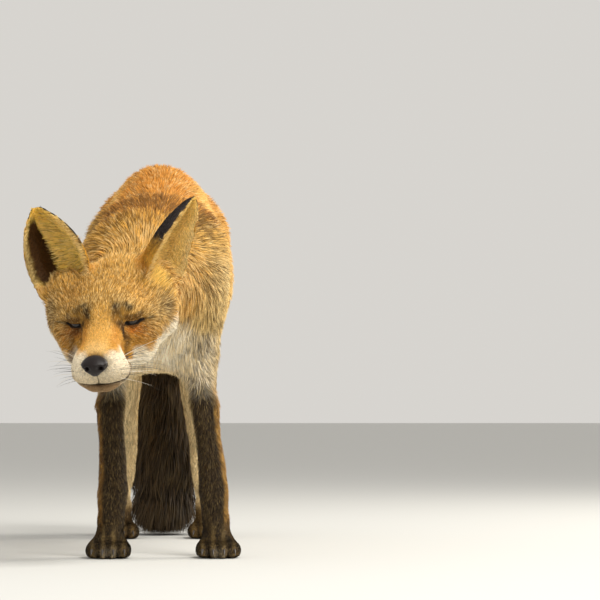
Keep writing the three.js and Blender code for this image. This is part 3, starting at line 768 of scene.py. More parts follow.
on_skin = Spots(skin_co, skin_n, ear)
lie = lie_of(on_skin)
for _ in range(6):
    lie = tangent(soften(lie, edges, 0.6, 1), skin_n)

# How fast the skin curves away along the lie, in 1/m: a hair bends by this to follow the skin.
span = skin_co[edges[:, 1]] - skin_co[edges[:, 0]]
reach = np.maximum(np.sum(span * span, axis=1), 1e-10)
turn_rate = np.sum((skin_n[edges[:, 1]] - skin_n[edges[:, 0]]) * span, axis=1) / reach
curve_sum, weight_sum = np.zeros(len(skin_co)), np.full(len(skin_co), 1e-6)
for end in (0, 1):
    along = np.abs(np.sum(unit(span) * lie[edges[:, end]], axis=1)) ** 3
    curve_sum += np.bincount(edges[:, end], along * turn_rate, len(skin_co))
    weight_sum += np.bincount(edges[:, end], along, len(skin_co))
curving = soften(np.clip(curve_sum / weight_sum, -60, 160), edges, 0.7, 10)
print("lie of the coat laid; the skin curves by", np.percentile(curving, (5, 50, 95)).round(0), "1/m")

# %% [markdown]
# ## Colours
# Each colour has a name. `Paint` holds a colour for every point, and lays others over it by soft
# shares, as a painter glazes.

# %% Colours
def colour(red, green, blue):
    c = np.array([red, green, blue]) / 255
    return np.where(c <= 0.04045, c / 12.92, ((c + 0.055) / 1.055) ** 2.4)


RUST = colour(198, 130, 50)
DEEP_RUST = colour(176, 92, 18)
GOLD = colour(214, 160, 70)
BRIDGE = colour(222, 170, 84)
BUFF = colour(222, 186, 112)
STRAW = colour(172, 144, 92)
PALE = colour(238, 208, 146)
CREAM = colour(240, 216, 166)
WHITE = colour(250, 238, 212)
GREY = colour(160, 138, 104)
BROWN_GREY = colour(158, 126, 88)
UMBER = colour(104, 68, 32)
OLIVE = colour(88, 64, 30)
SOOT = colour(50, 39, 27)
BLACK = colour(23, 19, 16)
BRUSH = colour(68, 55, 40)
EAR_GOLD = colour(255, 212, 88)
SLATE = colour(60, 53, 51)


class Paint:
    """A colour for each point: `over` lays another colour on by a soft share."""

    def __init__(self, base):
        self.c = np.array(base)

    def over(self, new, share):
        share = np.clip(np.broadcast_to(share, len(self.c)), 0, 1)[:, None]
        self.c += share * (new - self.c)
        return self

    def copy(self):
        return Paint(self.c)


def mixed(a, b, share):
    return a * (1 - share) + b * share


print("skin that is head:", round(on_skin.share["head"].mean(), 2))

# %% [markdown]
# ## Marks of the body, the legs and the brush
# Each region's function gives the colour of the middle of a hair, the colour of its tip, and how often
# a clump of hair is tipped with black or with cream. `blot` and `fine` are broad and fine ripples that
# keep the edges of the marks uneven.

# %% Marks of the body, the legs and the brush
def body_marks(s, plain, blot):
    """Rust back, golden flanks, cream belly, white throat and chest, dark flecks on the withers."""
    mid = Paint(plain * BUFF)
    mid.over(GOLD, 0.6 * smooth(0.2, 0.6, s.rise + 0.08 * blot))
    mid.over(RUST, smooth(0.76, 0.97, s.rise + 0.06 * blot))
    mid.over(CREAM, smooth(0.22, 0.05, s.rise + 0.05 * blot))
    mid.over(RUST, 0.5 * smooth(300, 380, s.y) * smooth(0.4, 0.7, s.rise))
    shoulder = bump_at(0, 58, s.y) * smooth(0.80, 0.55, s.rise) * smooth(14, 36, np.abs(s.x + 8))
    shoulder *= smooth(150, 190, s.z)
    # Pale on the fox's left shoulder only: partly pale strands, partly painted light on the side the
    # key light falls on.
    mid.over(STRAW, 0.4 * shoulder).over(PALE, 0.45 * shoulder * smooth(34, 56, s.x))
    throat = smooth(40, 5, s.y) * smooth(62, 44, np.abs(s.x + 4))
    throat *= smooth(244, 230, s.z + 0.5 * (s.x - 10) + 4 * blot)
    mid.over(WHITE, throat)
    mid.over(GOLD, 0.8 * smooth(-10, -60, s.y) * smooth(225, 255, s.z))
    mid.over(GOLD, 0.9 * smooth(18, 9, from_line([(12, -80, 266), (19, -54, 244)], s.b)))
    tip = mid.copy().over(PALE, 0.35 * smooth(0.9, 0.4, s.rise) * (1 - throat))
    tip.over(BRIDGE, 0.35 * smooth(0.6, 0.9, s.rise))
    # Painted shade between the neck and the shoulder: olive in the hair and more dark tips there.
    neck_fold_shade = ball_at((35, -10, 214), (8, 45, 13), s.b)  # shade between the neck and the shoulder
    mid.over(OLIVE, 0.5 * neck_fold_shade)
    withers = bump_at(8, 62, s.y) * smooth(0.68, 0.88, s.rise)
    mid.over(UMBER, 0.25 * withers)
    dark = 0.08 + 0.72 * withers + 0.36 * shoulder
    dark += 0.10 * smooth(-20, -60, s.y) * smooth(240, 270, s.z)
    dark = dark * (1 - 0.85 * throat) + 0.40 * throat * smooth(10, 30, s.x) + 0.2 * neck_fold_shade
    pale = (0.14 + 0.20 * shoulder + 0.25 * smooth(0.8, 0.4, s.rise)) * (1 - 0.8 * withers)
    return mid, tip, dark, pale + 0.35 * bump_at(-95, 26, s.y)


def leg_marks(s, plain, blot, fine):
    """Soot in front, an orange outer edge, cream inside; the hind legs are cream in front."""
    fore = smooth(200, 160, s.y)
    inner_edge = -0.86 - 0.3 * smooth(160, 70, s.z)
    front = smooth(0.80, 0.56, s.outward) * smooth(inner_edge - 0.1, inner_edge + 0.1, s.outward)
    # The fox's right legs, on the side away from the key light, get more umber: painted shade.
    limb = Paint(plain * GOLD).over(STRAW, 0.3).over(UMBER, 0.45 + 0.25 * fine + 0.30 * (s.x < 0))
    limb.over(CREAM, 0.9 * smooth(-0.3, -0.6, s.outward) * smooth(60, 140, s.z))
    limb.over(SOOT, front * smooth(206, 160, s.z + 10 * blot) * fore)
    limb.over(CREAM, (1 - fore) * smooth(0.55, 0.15, s.outward) * smooth(26, 50, s.z))
    limb.over(SOOT, (1 - fore) * smooth(0.2, 0.7, s.n[:, 1]) * smooth(150, 100, s.z))
    limb.over(SOOT, 0.8 * smooth(44, 24, s.z))
    # Black in the gaps between the toes is painted shade; the straw along each toe is the paws' tan.
    limb.over(STRAW, 0.35 * np.clip(s.toe, 0, 1)).over(BLACK, 0.9 * np.clip(-s.toe, 0, 1) ** 2)
    return limb, limb.copy().over(STRAW, 0.10 + 0.10 * fine), 0.10, 0.20


def brush_marks(s, plain, fine):
    """Brown-grey with straw streaks, darkest down the middle of the front, rust at the root."""
    ahead = smooth(0.2, -0.4, s.n[:, 1])
    brush = Paint(plain * BRUSH).over(STRAW, 0.10 * smooth(0.1, 0.9, ripple(s.p * (1, 1, 0.25), 17, 3)))
    brush.over(BLACK, 0.5 * bump_at(8, 16, s.x) * ahead)
    brush.over(SOOT, 0.6 * smooth(150, 260, s.z) * ahead)
    brush.over(RUST, 0.8 * smooth(300, 385, s.z) * smooth(-0.6, 0, s.n[:, 1]))
    return brush, brush.copy().over(STRAW, 0.12 + 0.12 * fine), 0.25, 0


# %% [markdown]
# ## Marks of the head
# The marks are laid from the broad to the fine: bridge and cheeks, lips and chin, the strokes and
# spots round the eyes, and last the dark rims of lids, mouth and nose.

# %% Marks of the head
def head_marks(s, plain, blot, fine, right):
    """Gold, with rust under the eyes, white lips and cheeks, a brown-grey chin and a paler bridge."""
    ax, hy, hz = s.m.T
    ball = s.ball
    face = Paint(plain * GOLD)
    face.over(BUFF, 0.35 * smooth(60, 84, hy) * smooth(10, 24, hz))
    face.over(RUST, 0.45 * ball((20, 30, 10), (26, 20, 20)))
    face.over(BRIDGE, smooth(15, 8, ax) * smooth(-8, -34, hy))
    face.over(DEEP_RUST, 0.35 * bump_at(14, 4, ax) * smooth(-8, -20, hy) * smooth(-64, -45, hy))
    face.over(PALE, 0.5 * smooth(14, 6, ax) * smooth(-44, -70, hy))
    face.over(DEEP_RUST, 0.9 * ball((28, -9, -6.5), (11, 13, 5.5)))
    face.over(DEEP_RUST, 0.4 * ball((36, -2, -14), (13, 14, 10)))

    # White cheeks and lips, and the chin.
    edge = np.interp(ax, (22, 27, 32, 38, 44, 50, 56), (-31, -23.5, -25.5, -29, -26, -20, -15))
    cheek = smooth(edge + 5, edge - 5, hz + 3 * fine) * smooth(-32, -22, hy) * smooth(21, 25, ax)
    jaw = smooth(-31, -37, hz + 1.5 * fine) * smooth(-36, -20, hy)
    ruff = 0.8 * smooth(26, 46, hy) * smooth(-14, -28, hz + 4 * blot) * smooth(34, 42, ax)
    cheek = np.maximum(np.maximum(cheek, jaw), ruff)
    face.over(WHITE, cheek)
    lip_line = -9.5 - 0.14 * (hy + 65) + 1.2 * fine
    lips = smooth(-34, -44, hy) * smooth(lip_line + 4, lip_line - 3, hz)
    lips *= smooth(5, 9, ax + 18 * (hz < -16))
    # Lower down the lips turn straw: partly browner fur by the mouth, partly painted shade under the
    # whisker pads.
    face.over(WHITE, 0.94 * lips).over(STRAW, 0.5 * lips * smooth(-20, -37, hz))
    chin = smooth(-38.4, -40.6, hz) * smooth(-40, -52, hy)
    face.over(BROWN_GREY, 0.95 * chin * smooth(23, 14, ax))
    face.over(SOOT, 0.5 * ball((0, -70, -45), (7, 9, 4)))
    face.over(GREY, 0.7 * ball((54, 34, -4), (6, 14, 15)))
    face.over(STRAW, 0.5 * ball((48, 20, -4), (9, 18, 18)))

    # Dark strokes down from the eyes, dark spots over them, and the rims of lids, mouth and nose.
    left_stroke = [(17, -21, -1), (21, -14, -15), (20, -19, -31)]
    right_stroke = [(19, -13, -2), (29, -6, -8), (31, -7, -25), (32, -7, -35)]
    for share, path in ((1 - right, left_stroke), (right, right_stroke)):
        face.over(UMBER, 0.75 * share * smooth(5.8, 1.0, from_line(path, s.m)))
    face.over(UMBER, 0.75 * ball((21, -34, -20), (4.0, 13, 10)))
    spot = ball((12.5, -13, 10), (4.6, 9, 7.5)) + ball((18, -7, 14), (7, 7, 4.5))
    spot += 0.8 * ball((26, -5, 11), (8, 6, 3.2)) + ball((15.5, -18, 4), (4.2, 7, 5))
    face.over(0.7 * OLIVE, np.clip(1.25 * spot, 0, 0.88) * (0.85 + 0.3 * fine))
    # A dark band on the upper lid over the slit: partly the lid's dark rim, partly painted shade under
    # the brow.
    upper_lid_rim_and_shade = smooth(3.0, 1.0, np.abs(s.eye_b - 5.0)) * smooth(13, 9, np.abs(s.eye_a))
    face.over(UMBER, 0.8 * upper_lid_rim_and_shade * (s.from_slit < 20))
    from_tear = from_line(TEAR, s.m)
    face.over(0.6 * UMBER, 0.8 * smooth(5, 1.5, from_tear))
    face.over(UMBER, 0.75 * smooth(3.6, 1.0, s.from_slit))
    face.over(SOOT, 0.9 * bump_at(0, 1.5, from_line([(35, -1, -0.6), (45, 5.5, -1)], s.m)))
    face.over(BLACK, smooth(1.8, 0.9, s.from_slit) + 0.9 * bump_at(0, 1.8, from_tear))
    face.over(UMBER, 0.7 * smooth(3.4, 1.4, s.from_mouth) + 0.9 * ball((26, -44, -35.5), (4, 11, 4)))
    face.over(SOOT, 0.9 * smooth(5.5, 2.5, s.from_mouth) * smooth(-60, -50, hy))
    line = smooth(2.6, 1.4, s.from_mouth) + 0.7 * smooth(1.4, 0.7, from_line(PHILTRUM, s.m))
    face.over(SOOT * 0.6, line).over(SOOT, 0.8 * s.on_nose)

    # Gold runs on from the left ear, and banded hairs fleck the forehead and the sides.
    ear_foot = (1 - right) * ball((44, 54, 25), (15, 16, 16))
    face.over(EAR_GOLD, 0.75 * ear_foot).over(PALE, 0.25 * ear_foot)
    agouti = smooth(-16, 4, hy) * smooth(-12, 4, hz) * (1 - ear_foot)
    flecks = agouti + 0.8 * ball((12, -4, 18), (14, 14, 8)) + 1.2 * ball((40, 4, -10), (17, 24, 15))
    flecks += 0.4 * smooth(16, 8, ax) * bump_at(-22, 16, hy) + 0.5 * ball((54, 34, -4), (8, 16, 16))
    dark = 0.46 * flecks * (1 - 0.7 * smooth(36, 76, hy)) * (1 - np.clip(cheek + lips, 0, 1))
    pale = 0.02 + (0.26 + 0.25 * smooth(60, 86, hy)) * flecks
    return face, face.copy().over(PALE, 0.2 * agouti), dark, pale


# %% [markdown]
# ## Marks of the ears, and all the marks together
# `markings` lays the regions over each other by their soft shares. The skin takes its colours here,
# darker than the hair over it: painted shade from the coat.

# %% Marks of the ears, and all the marks together
def ear_marks(s, plain, fine, right):
    """Gold with fringes of cream, black behind. The right ear's hollow has painted shade in its middle.
    """
    pinna = Paint(plain * EAR_GOLD).over(GOLD, smooth(0.3, 0.15, s.v))
    rows = (0.15, 0.3, 0.47, 0.65, 0.84)
    hollow_shade = np.interp(s.v, rows, (-0.47, -0.50, -0.46, -0.56, -0.68))
    half = np.interp(s.v, rows, (0.30, 0.44, 0.48, 0.36, 0.20))
    hollow_shade = smooth(1.3, 0.8, np.abs(s.u - hollow_shade) / half) * smooth(0.10, 0.2, s.v) * smooth(0.92, 0.82, s.v)
    pinna.over(PALE, 0.6 * s.hollow * smooth(0.84, 0.97, np.abs(s.u)))
    pinna.over(CREAM, 0.2 * s.hollow * smooth(0.15, 0.45, s.v) * smooth(0.95, 0.7, s.v))
    pinna.over(PALE, 0.35 * s.hollow * (1 - right))
    pinna.over(UMBER, 0.15 * s.hollow * right * bump_at(0.75, 0.3, s.u) * bump_at(0.25, 0.2, s.v))
    # Painted shade in the middle of the right ear's hollow; it also leaves fewer pale tips there.
    pinna.over(UMBER * 0.45, s.hollow * hollow_shade * right).over(RUST, 0.6 * (1 - s.hollow))
    black = smooth(0.34, 0.54, s.v + 0.03 * fine) * smooth(-0.99, -0.86, s.u)
    pinna.over(SLATE, (1 - s.hollow) * black)
    return pinna, pinna, 0.04 * s.hollow * right, 0.35 * s.hollow * (1 - hollow_shade * right)


def markings(s):
    """Colours of the middle and the tip of a hair, and the shares of dark and of pale tips."""
    plain = np.ones((len(s.p), 1))
    right = 1.0 * (s.side < 0)
    blot, fine = ripple(s.p, 34, 1), ripple(s.p, 9, 2)
    mid, tip, dark, pale = body_marks(s, plain, blot)
    marks = {
        "leg": leg_marks(s, plain, blot, fine),
        "tail": brush_marks(s, plain, fine),
        "head": head_marks(s, plain, blot, fine, right),
        "ear": ear_marks(s, plain, fine, right),
    }
    for region, (middle, end, darker, paler) in marks.items():
        share = s.share[region]
        mid.over(middle.c, share)
        tip.over(end.c, share)
        dark, pale = mixed(dark, darker, share), mixed(pale, paler, share)
    return mid.c, tip.c, np.clip(dark, 0, 0.7), np.clip(pale, 0, 0.6)


mid_colour, tip_colour, *_ = markings(on_skin)
# Painted shade: the skin is darkened as if shaded by the coat over it, less on the head.
shade_under_coat = 0.62 + 0.25 * on_skin.share["head"][:, None]


def set_tint(mesh, colours):
    """Colours for the vertices of a mesh, in the attribute that its finish reads."""
    layer = mesh.attributes.new("tint", "FLOAT_COLOR", "POINT")
    write(layer.data, "color", np.column_stack([colours, np.ones(len(colours))]))


set_tint(skin.data, mid_colour * shade_under_coat)
print("skin tinted; its mean colour is", (mid_colour * shade_under_coat).mean(axis=0).round(3))

# %% [markdown]
# ## Finishes
# Skin and coat read the colour attribute, and a little noise varies it. The nose is pebbled, the
# eyes are dark and wet, and horn and whiskers have plain finishes.

# %% Finishes
class Wire:
    """A shader value that can be added to and multiplied like a number."""

    def __init__(self, tree, socket):
        self.tree, self.socket = tree, socket

    def _maths(self, kind, other):
        return add_node(self.tree, "Math", {"operation": kind}, {0: self, 1: other})

    def __add__(self, other):
        return self._maths("ADD", other)

    def __mul__(self, other):
        return self._maths("MULTIPLY", other)

    __radd__, __rmul__ = __add__, __mul__


def feed(socket, value):
    """Gives a socket its value, or links it."""
    if isinstance(value, Wire):
        value.tree.links.new(value.socket, socket)
    else:
        socket.default_value = value


def add_node(tree, kind, settings, sockets, out=0):
    """A new node: its settings first, then the values or links of its sockets."""
    node = tree.nodes.new("ShaderNode" + kind)
    for key, value in settings.items():
        setattr(node, key, value)
    for key, value in sockets.items():
        feed(node.inputs[key], value)
    return Wire(tree, node.outputs[out])


def finish_of(name, base, roughness, specular=0.5):
    finish = bpy.data.materials.new(name)
    finish.use_nodes = True
    shader = finish.node_tree.nodes["Principled BSDF"]
    feed(shader.inputs["Base Color"], (*base, 1))
    feed(shader.inputs["Roughness"], roughness)
    feed(shader.inputs["Specular IOR Level"], specular)
    return finish, finish.node_tree, shader


def noise(tree, scale, detail=2.0):
    where = add_node(tree, "TexCoord", {}, {}, "Object")
    return add_node(tree, "TexNoise", {}, {"Vector": where, "Scale": scale, "Detail": detail}, "Fac")


def bumped(tree, shader, height, strength, distance):
    bump = {"Strength": strength, "Distance": distance, "Height": height}
    feed(shader.inputs["Normal"], add_node(tree, "Bump", {}, bump, "Normal"))


def furry(name, roughness, depth):
    finish, tree, shader = finish_of(name, GOLD, roughness, 0.12)
    tint = add_node(tree, "Attribute", {"attribute_name": "tint"}, {}, "Color")
    varied = {0: tint, "Scale": noise(tree, 900) * 0.3 + 0.85}
    feed(shader.inputs["Base Color"], add_node(tree, "VectorMath", {"operation": "SCALE"}, varied))
    if depth:
        bumped(tree, shader, noise(tree, 700, 3), 0.6, depth)
    return finish


SKIN_FINISH = furry("skin", 0.75, 0.0006)
COAT_FINISH = furry("coat", 0.55, 0)
NOSE_FINISH, tree, shader = finish_of("nose", colour(24, 15, 13), 0.36, 0.3)
bumped(tree, shader, noise(tree, 1500, 1), 0.5, 0.0003)
EYE_FINISH, *_ = finish_of("eye", colour(30, 19, 11), 0.12)
HORN_FINISH, *_ = finish_of("horn", colour(58, 50, 44), 0.35)
WHISKER_FINISH, *_ = finish_of("whisker", colour(46, 38, 32), 0.4)
PALE_WHISKER_FINISH, *_ = finish_of("pale_whisker", colour(228, 216, 196), 0.4)
print("finishes", sorted(finish.name for finish in bpy.data.materials))

# %% [markdown]
# ## Eyes and nose
# The eyeballs are smooth balls at the middles of the frame's own eyes. The nose is a ball pressed into
# a pad, wide above and narrow below, with comma-shaped nostrils and a groove down the middle.

# %% Eyes and nose
def ball_grid(rings, turns):
    """Unit-ball points with poles along y, and the faces between them."""
    turn = np.arange(turns) * 2 * math.pi / turns
    down, turn = np.meshgrid(np.linspace(0, math.pi, rings + 1), turn, indexing="ij")
    points = np.stack([np.sin(down) * np.cos(turn), -np.cos(down), np.sin(down) * np.sin(turn)], -1)
    return points.reshape(-1, 3), tube_faces(np.arange(turn.size).reshape(turn.shape)).tolist()


def welded(piece):
    bm = bmesh.new()
    bm.from_mesh(piece.data)
    bmesh.ops.remove_doubles(bm, verts=bm.verts, dist=1e-6)
    bmesh.ops.recalc_face_normals(bm, faces=bm.faces)
    bm.to_mesh(piece.data)
    bm.free()
    return piece


def dressed(piece, finish, slot, *nodes):
    piece.data.materials.clear()
    piece.data.materials.append(finish)
    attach(piece, "root")
    if nodes:
        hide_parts(*nodes)
    return piece


ball, ball_faces = ball_grid(28, 56)
for side in eyes:
    eyeball = welded(new_object("eyeball_" + side, eyes[side] + ball * EYE["r"] * MM, ball_faces))
    dressed(eyeball, EYE_FINISH, "eye", "eye_" + side)

NOSE_AT = (0, -79, -15.2)
NOSE_RADII = (12.2, 8.8, 8.6)
ball, ball_faces = ball_grid(90, 120)
pad = ball * NOSE_RADII
x, y, z = ball.T
pad[:, 0] *= 1 - 0.24 * smooth(0.0, -1, z) + 0.03 * bump_at(0.35, 0.3, z)
pad[:, 2] -= 1.8 * bump_at(0, 0.42, x) * smooth(-0.2, -1, z)
pad[:, 1] += 2.2 * smooth(0.3, 1, z) - 1.0 * bump_at(0.15, 0.5, z)
px, _, pz = pad.T
ax = np.abs(px)
hole = bump_at(6.0, 2.4, ax) * bump_at(-0.6, 2.0, pz)
comma = from_line([(7, 0, -1.4), (10, 0, -2.6), (12.4, 0, 0.4)], np.stack([ax, 0 * ax, pz], 1))
comma = bump_at(0, 0.9, comma)
groove = bump_at(0, 0.7, px) * smooth(4, -2, pz)
front = smooth(0.25, -0.1, y)
wing = bump_at(8.6, 2.2, ax) * bump_at(1.6, 2.2, pz)
sink = (4.6 * hole + 2.0 * comma + 0.9 * groove - 0.8 * wing) * front
pad[:, 1] += sink
pad[:, 0] -= 0.4 * sink * np.sign(px) * comma
nose = welded(new_object("nose_pad", from_head(pad + NOSE_AT), ball_faces))
dressed(nose, NOSE_FINISH, "nose", "nose")
print("nose pad", len(nose.data.polygons), "faces")

# %% [markdown]
# ## Claws and whiskers
# Claws are curved cones in front of each toe. Whiskers are long tapering hairs from four rows on each
# lip, two thirds of them dark.

# %% Claws and whiskers
def horn(start, way, sag, length, thick, rows=7, turns=8, flat=1.0):
    """A curved, tapering round spike in metres, as verts and faces."""
    t = np.linspace(0, 1, rows)[:, None]
    spine = start + way * length * t + sag * t**2
    run = unit(np.gradient(spine, axis=0))
    side = unit(np.cross(run, (0.05, 0.1, 1.0)))
    up = np.cross(side, run)
    turn = np.arange(turns) * 2 * math.pi / turns
    wide = thick * (1 - 0.93 * t**1.3)[:, :, None]
    ring = by(np.cos(turn) * flat, side[:, None]) + by(np.sin(turn), up[:, None])
    verts = (spine[:, None] + wide * ring).reshape(-1, 3)
    at = np.arange(rows * turns).reshape(rows, turns)
    return verts, tube_faces(at).tolist() + [at[-1].tolist()]


def bundle(name, spikes):
    verts, faces, count = [], [], 0
    for v, f in spikes:
        verts.append(v)
        faces += [[i + count for i in face] for face in f]
        count += len(v)
    return new_object(name, np.concatenate(verts), faces)


CLAW = {"apart": 10.4, "high": 8.2, "sag": 3.6, "long": 11, "thick": 1.9}
claws = []
for low, _, mid in PAW_BOXES:
    for k in (-1.5, -0.5, 0.5, 1.5):
        start = from_body((mid + k * CLAW["apart"], low[1] + 4.5 + 5.0 * (abs(k) - 0.5), CLAW["high"]))
        way = unit(np.array([0.05 * k, -1, -0.10]))
        sag = np.array([0, 0, -CLAW["sag"]]) * MM
        claws.append(horn(start, way, sag, CLAW["long"] * MM, CLAW["thick"] * MM, flat=0.7))
dressed(bundle("claws", claws), HORN_FINISH, "nose")

chance = np.random.default_rng(5)
tree = BVHTree.FromObject(skin, bpy.context.evaluated_depsgraph_get())
WHISKER_THICK = 0.2 * MM
dark_hairs, pale_hairs = [], []
for sign in SIDES.values():
    for row, k in np.ndindex(4, 5):
        place = (sign * (17 + 1.0 * k), -66 + 6.2 * k, -20 - 4.0 * row)
        root = nearest_on(tree, place)
        back = 0.42 + 0.12 * k + chance.normal(0, 0.08)
        way = unit(np.array([sign * (0.72 - 0.02 * k), back, -0.12 * row + 0.12]))
        way = unit(way + chance.normal(0, 0.06, 3))
        length = 26 + 8 * k + chance.uniform(-5, 8)
        sag = np.array([0, 0.25 * length, -0.30 * length * chance.uniform(0.6, 1.3)])
        way, sag = way @ HEAD_AXES, sag @ HEAD_AXES * MM
        hair = horn(from_head(root), way, sag, length * MM, WHISKER_THICK, rows=12, turns=5)
        (dark_hairs if (row + k) % 3 else pale_hairs).append(hair)
dressed(bundle("whiskers_dark", dark_hairs), WHISKER_FINISH, "nose")
dressed(bundle("whiskers_pale", pale_hairs), PALE_WHISKER_FINISH, "cream")
dressed(skin, SKIN_FINISH, "rust", *FLESH)
print(len(claws), "claws and", len(dark_hairs) + len(pale_hairs), "whiskers")

# %% [markdown]
# ## Sow the coat
# `measures` says how long and wide a tuft is, how far its tip stands off the skin, and how many layers
# of hair cover the skin there. Roots are sown evenly by that cover. The face and the feet have the
# smallest tufts, and lids, lips and nose stay bare.

# %% Sow the coat
def over_regions(r, head, trunk, leg, tail, ear):
    """A value that has its own size on each region."""
    return head * r["head"] + trunk * r["trunk"] + leg * r["leg"] + tail * r["tail"] + ear * r["ear"]


def measures(s):
    """Length, width, tip height in millimetres and cover, in layers of hair, for each spot."""
    r, m = s.share, s.m
    ax, hy, hz = m.T
    head = 3.6 + 5.8 * smooth(-34, 6, hy) + 5.0 * smooth(20, 75, hy) * smooth(-12, 10, hz)
    head += 10 * smooth(14, 46, hy) * smooth(28, 46, ax) * smooth(8, -10, hz)
    head += 9 * smooth(-14, 30, hy) * smooth(-20, -36, hz) - 0.8 * smooth(-44, -60, hy)
    head *= 0.45 + 0.55 * smooth(1.5, 9, s.from_slit)
    head *= 0.50 + 0.50 * smooth(0.8, 6, s.from_mouth)
    body = 18 + 5 * smooth(0.45, 0.8, s.rise) + 3 * smooth(10, -50, s.y) * smooth(0.7, 0.3, s.rise)
    body += 5 * smooth(300, 420, s.y) - 8 * smooth(215, 165, s.z) * (1 - bump_at(-10, 40, s.y) * 0.8)
    limb = 7.5 + 7 * smooth(120, 190, s.z) - 2.8 * r["paw"]
    brush = 48 - 16 * smooth(330, 390, s.z) - 8 * smooth(50, 10, s.z)
    fringe = s.hollow * smooth(0.10, 0.25, s.v) * smooth(0.95, 0.75, s.v) * smooth(-0.15, 0.2, s.u)
    pinna = 3.8 + 2.0 * smooth(0.35, 0.1, s.v) + 11 * fringe * smooth(1.0, 0.7, s.u)
    length = over_regions(r, head, body, limb, brush, pinna)
    depth = coat_depth(s.p, r)
    height = np.clip(1.2 * depth, 0.9, 0.55 * length)
    height = height + (0.6 * s.hollow + 3.5 * fringe) * r["ear"]
    width = np.interp(length, (3, 8, 16, 28, 50), (0.42, 0.44, 0.58, 0.76, 1.15))
    cover = over_regions(r, 5.2, 5.6, 3.2, 10.5, 3.4)
    bare = smooth(0.9, 2.4, s.from_slit) * smooth(1.5, 3.0, s.from_mouth) * (1 - s.on_nose)
    bare *= smooth(0.2, 1.0, s.from_slit)
    return length, width, height, cover * bare


tris = read(skin.data.polygons, "vertices", 3, np.int32)
uv = read(skin.data.uv_layers["OFBake"].data, "uv", 2).reshape(-1, 3, 2)
length, width, height, cover = measures(on_skin)
BLADE_SHARE = 0.62  # of its length times its width, which a blade fills
sown = cover / (BLADE_SHARE * length * width) * (on_skin.z >= 1.0)  # no hair under the soles
one, two, three = (skin_co[tris] / MM).transpose(1, 0, 2)
area = 0.5 * np.linalg.norm(np.cross(two - one, three - one), axis=1)
wanted = area * sown[tris].mean(axis=1) * FINE
total = int(wanted.sum())
print("tufts wanted", total)

draw = np.random.default_rng(11)
steps = (np.arange(total) + draw.random(total)) * wanted.sum() / total
face = np.minimum(np.searchsorted(np.cumsum(wanted), steps), len(tris) - 1)
r1, r2 = np.sqrt(draw.random(total)), draw.random(total)
weights = np.stack([1 - r1, r1 * (1 - r2), r1 * r2], axis=1)


def at_roots(values):
    """Values on the skin's vertices, read at the roots."""
    return np.einsum("nk,nk...->n...", weights, values[tris[face]])


root = at_roots(skin_co)
normal = unit(at_roots(skin_n))
ear_root = at_roots(ear)
spots = Spots(root, normal, ear_root)
uv_root = np.einsum("nk,nkc->nc", weights, uv[face])
flow = tangent(at_roots(lie), normal)
bend = at_roots(curving)
length, width, height, _ = measures(spots)
print("roots placed", total)

# %% [markdown]
# ## Shape the tufts
# Each tuft is a narrow blade of three triangles, from its root on the skin to its tip, which follows
# the lie of the coat and bends with the skin. Tufts gather in clumps: each leans towards the tip of
# the clump's leader, and shares the leader's shade.

# %% Shape the tufts
sway = np.cross(normal, flow)
short = smooth(14, 6, length)
angle = 0.12 * ripple(root, 42, 21) + 0.08 * ripple(root, 15, 22) + draw.normal(0, 0.12, total)
flow = unit(flow * np.cos(angle)[:, None] + sway * np.sin(angle)[:, None])
sway = np.cross(normal, flow)
length = length * draw.uniform(0.72, 1.18, total)
stand = 0.40 + 0.60 * draw.random(total) ** 0.8 + 0.08 * ripple(root, 12, 23)
height = height * np.clip(stand, 0.15, 1.05)
run = np.sqrt(np.maximum(length**2 - height**2, 1.0))


def along_tuft(t):
    """The middle of each blade at share t of its length, in metres."""
    rise = height * (1 - (1 - t) ** 1.7) - 0.5 * np.clip(bend, -25, 90) * MM * (run * t) ** 2
    return root + (flow * (run * t)[:, None] + normal * rise[:, None]) * MM


tip_at, middle_at = along_tuft(1.0), along_tuft(0.5)
leaders = np.flatnonzero(draw.random(total) < np.interp(length, (4, 30), (0.30, 0.10)))
clumps = tree_of(root[leaders])
leader = leaders[[clumps.find(p)[1] for p in root]]
reach = np.linalg.norm(root - root[leader], axis=1) / MM
gather = 0.36 * smooth(0.55, 0.15, reach / np.maximum(length, 1)) * (1 - 0.7 * short)
gather = gather * (1 - 0.5 * spots.share["tail"])
gather = gather * (np.sum(normal * normal[leader], axis=1) > 0.6)
tip_at = tip_at + gather[:, None] * (tip_at[leader] - tip_at)
middle_at = middle_at + 0.4 * gather[:, None] * (middle_at[leader] - middle_at)
print("tufts gathered in", len(leaders), "clumps")

# A hair has the colour of the place that it covers.
seen_at = root + flow * ((0.6 - 0.25 * short) * length * MM)[:, None]
mid_colour, tip_colour, dark_share, pale_share = markings(Spots(seen_at, normal, ear_root))
shared = 0.7 * (1 - spots.share["leg"] - 0.5 * spots.share["head"])
lot = np.where(draw.random(total) < shared, draw.random(total)[leader], draw.random(total))
dark_tip, pale_tip = (lot < dark_share)[:, None], (lot > 1 - pale_share)[:, None]
glint = PALE + spots.share["leg"][:, None] * (0.7 * STRAW - PALE)
for chosen, end, at_end, body, at_body in (
    (dark_tip, SOOT, 0.8, OLIVE, 0.5),
    (pale_tip, glint, 0.85, glint, 0.2),
):
    tip_colour = np.where(chosen, mixed(tip_colour, end, at_end), tip_colour)
    mid_colour = np.where(chosen, mixed(mid_colour, body, at_body), mid_colour)
shade = draw.normal(0, 0.07, total) + 0.13 * draw.normal(0, 1, total)[leader]
tone = np.clip(1 + shade, 0.6, 1.4)[:, None]
# Roots are darker: partly the greyer underfur, partly painted shade deep in the coat, less where hair
# is short and on the ears.
root_colour_and_shade = mid_colour * (0.42 * tone + (0.3 * short + 0.1 * spots.share["ear"])[:, None])
mid_colour, tip_colour = mid_colour * tone, tip_colour * tone * 1.06

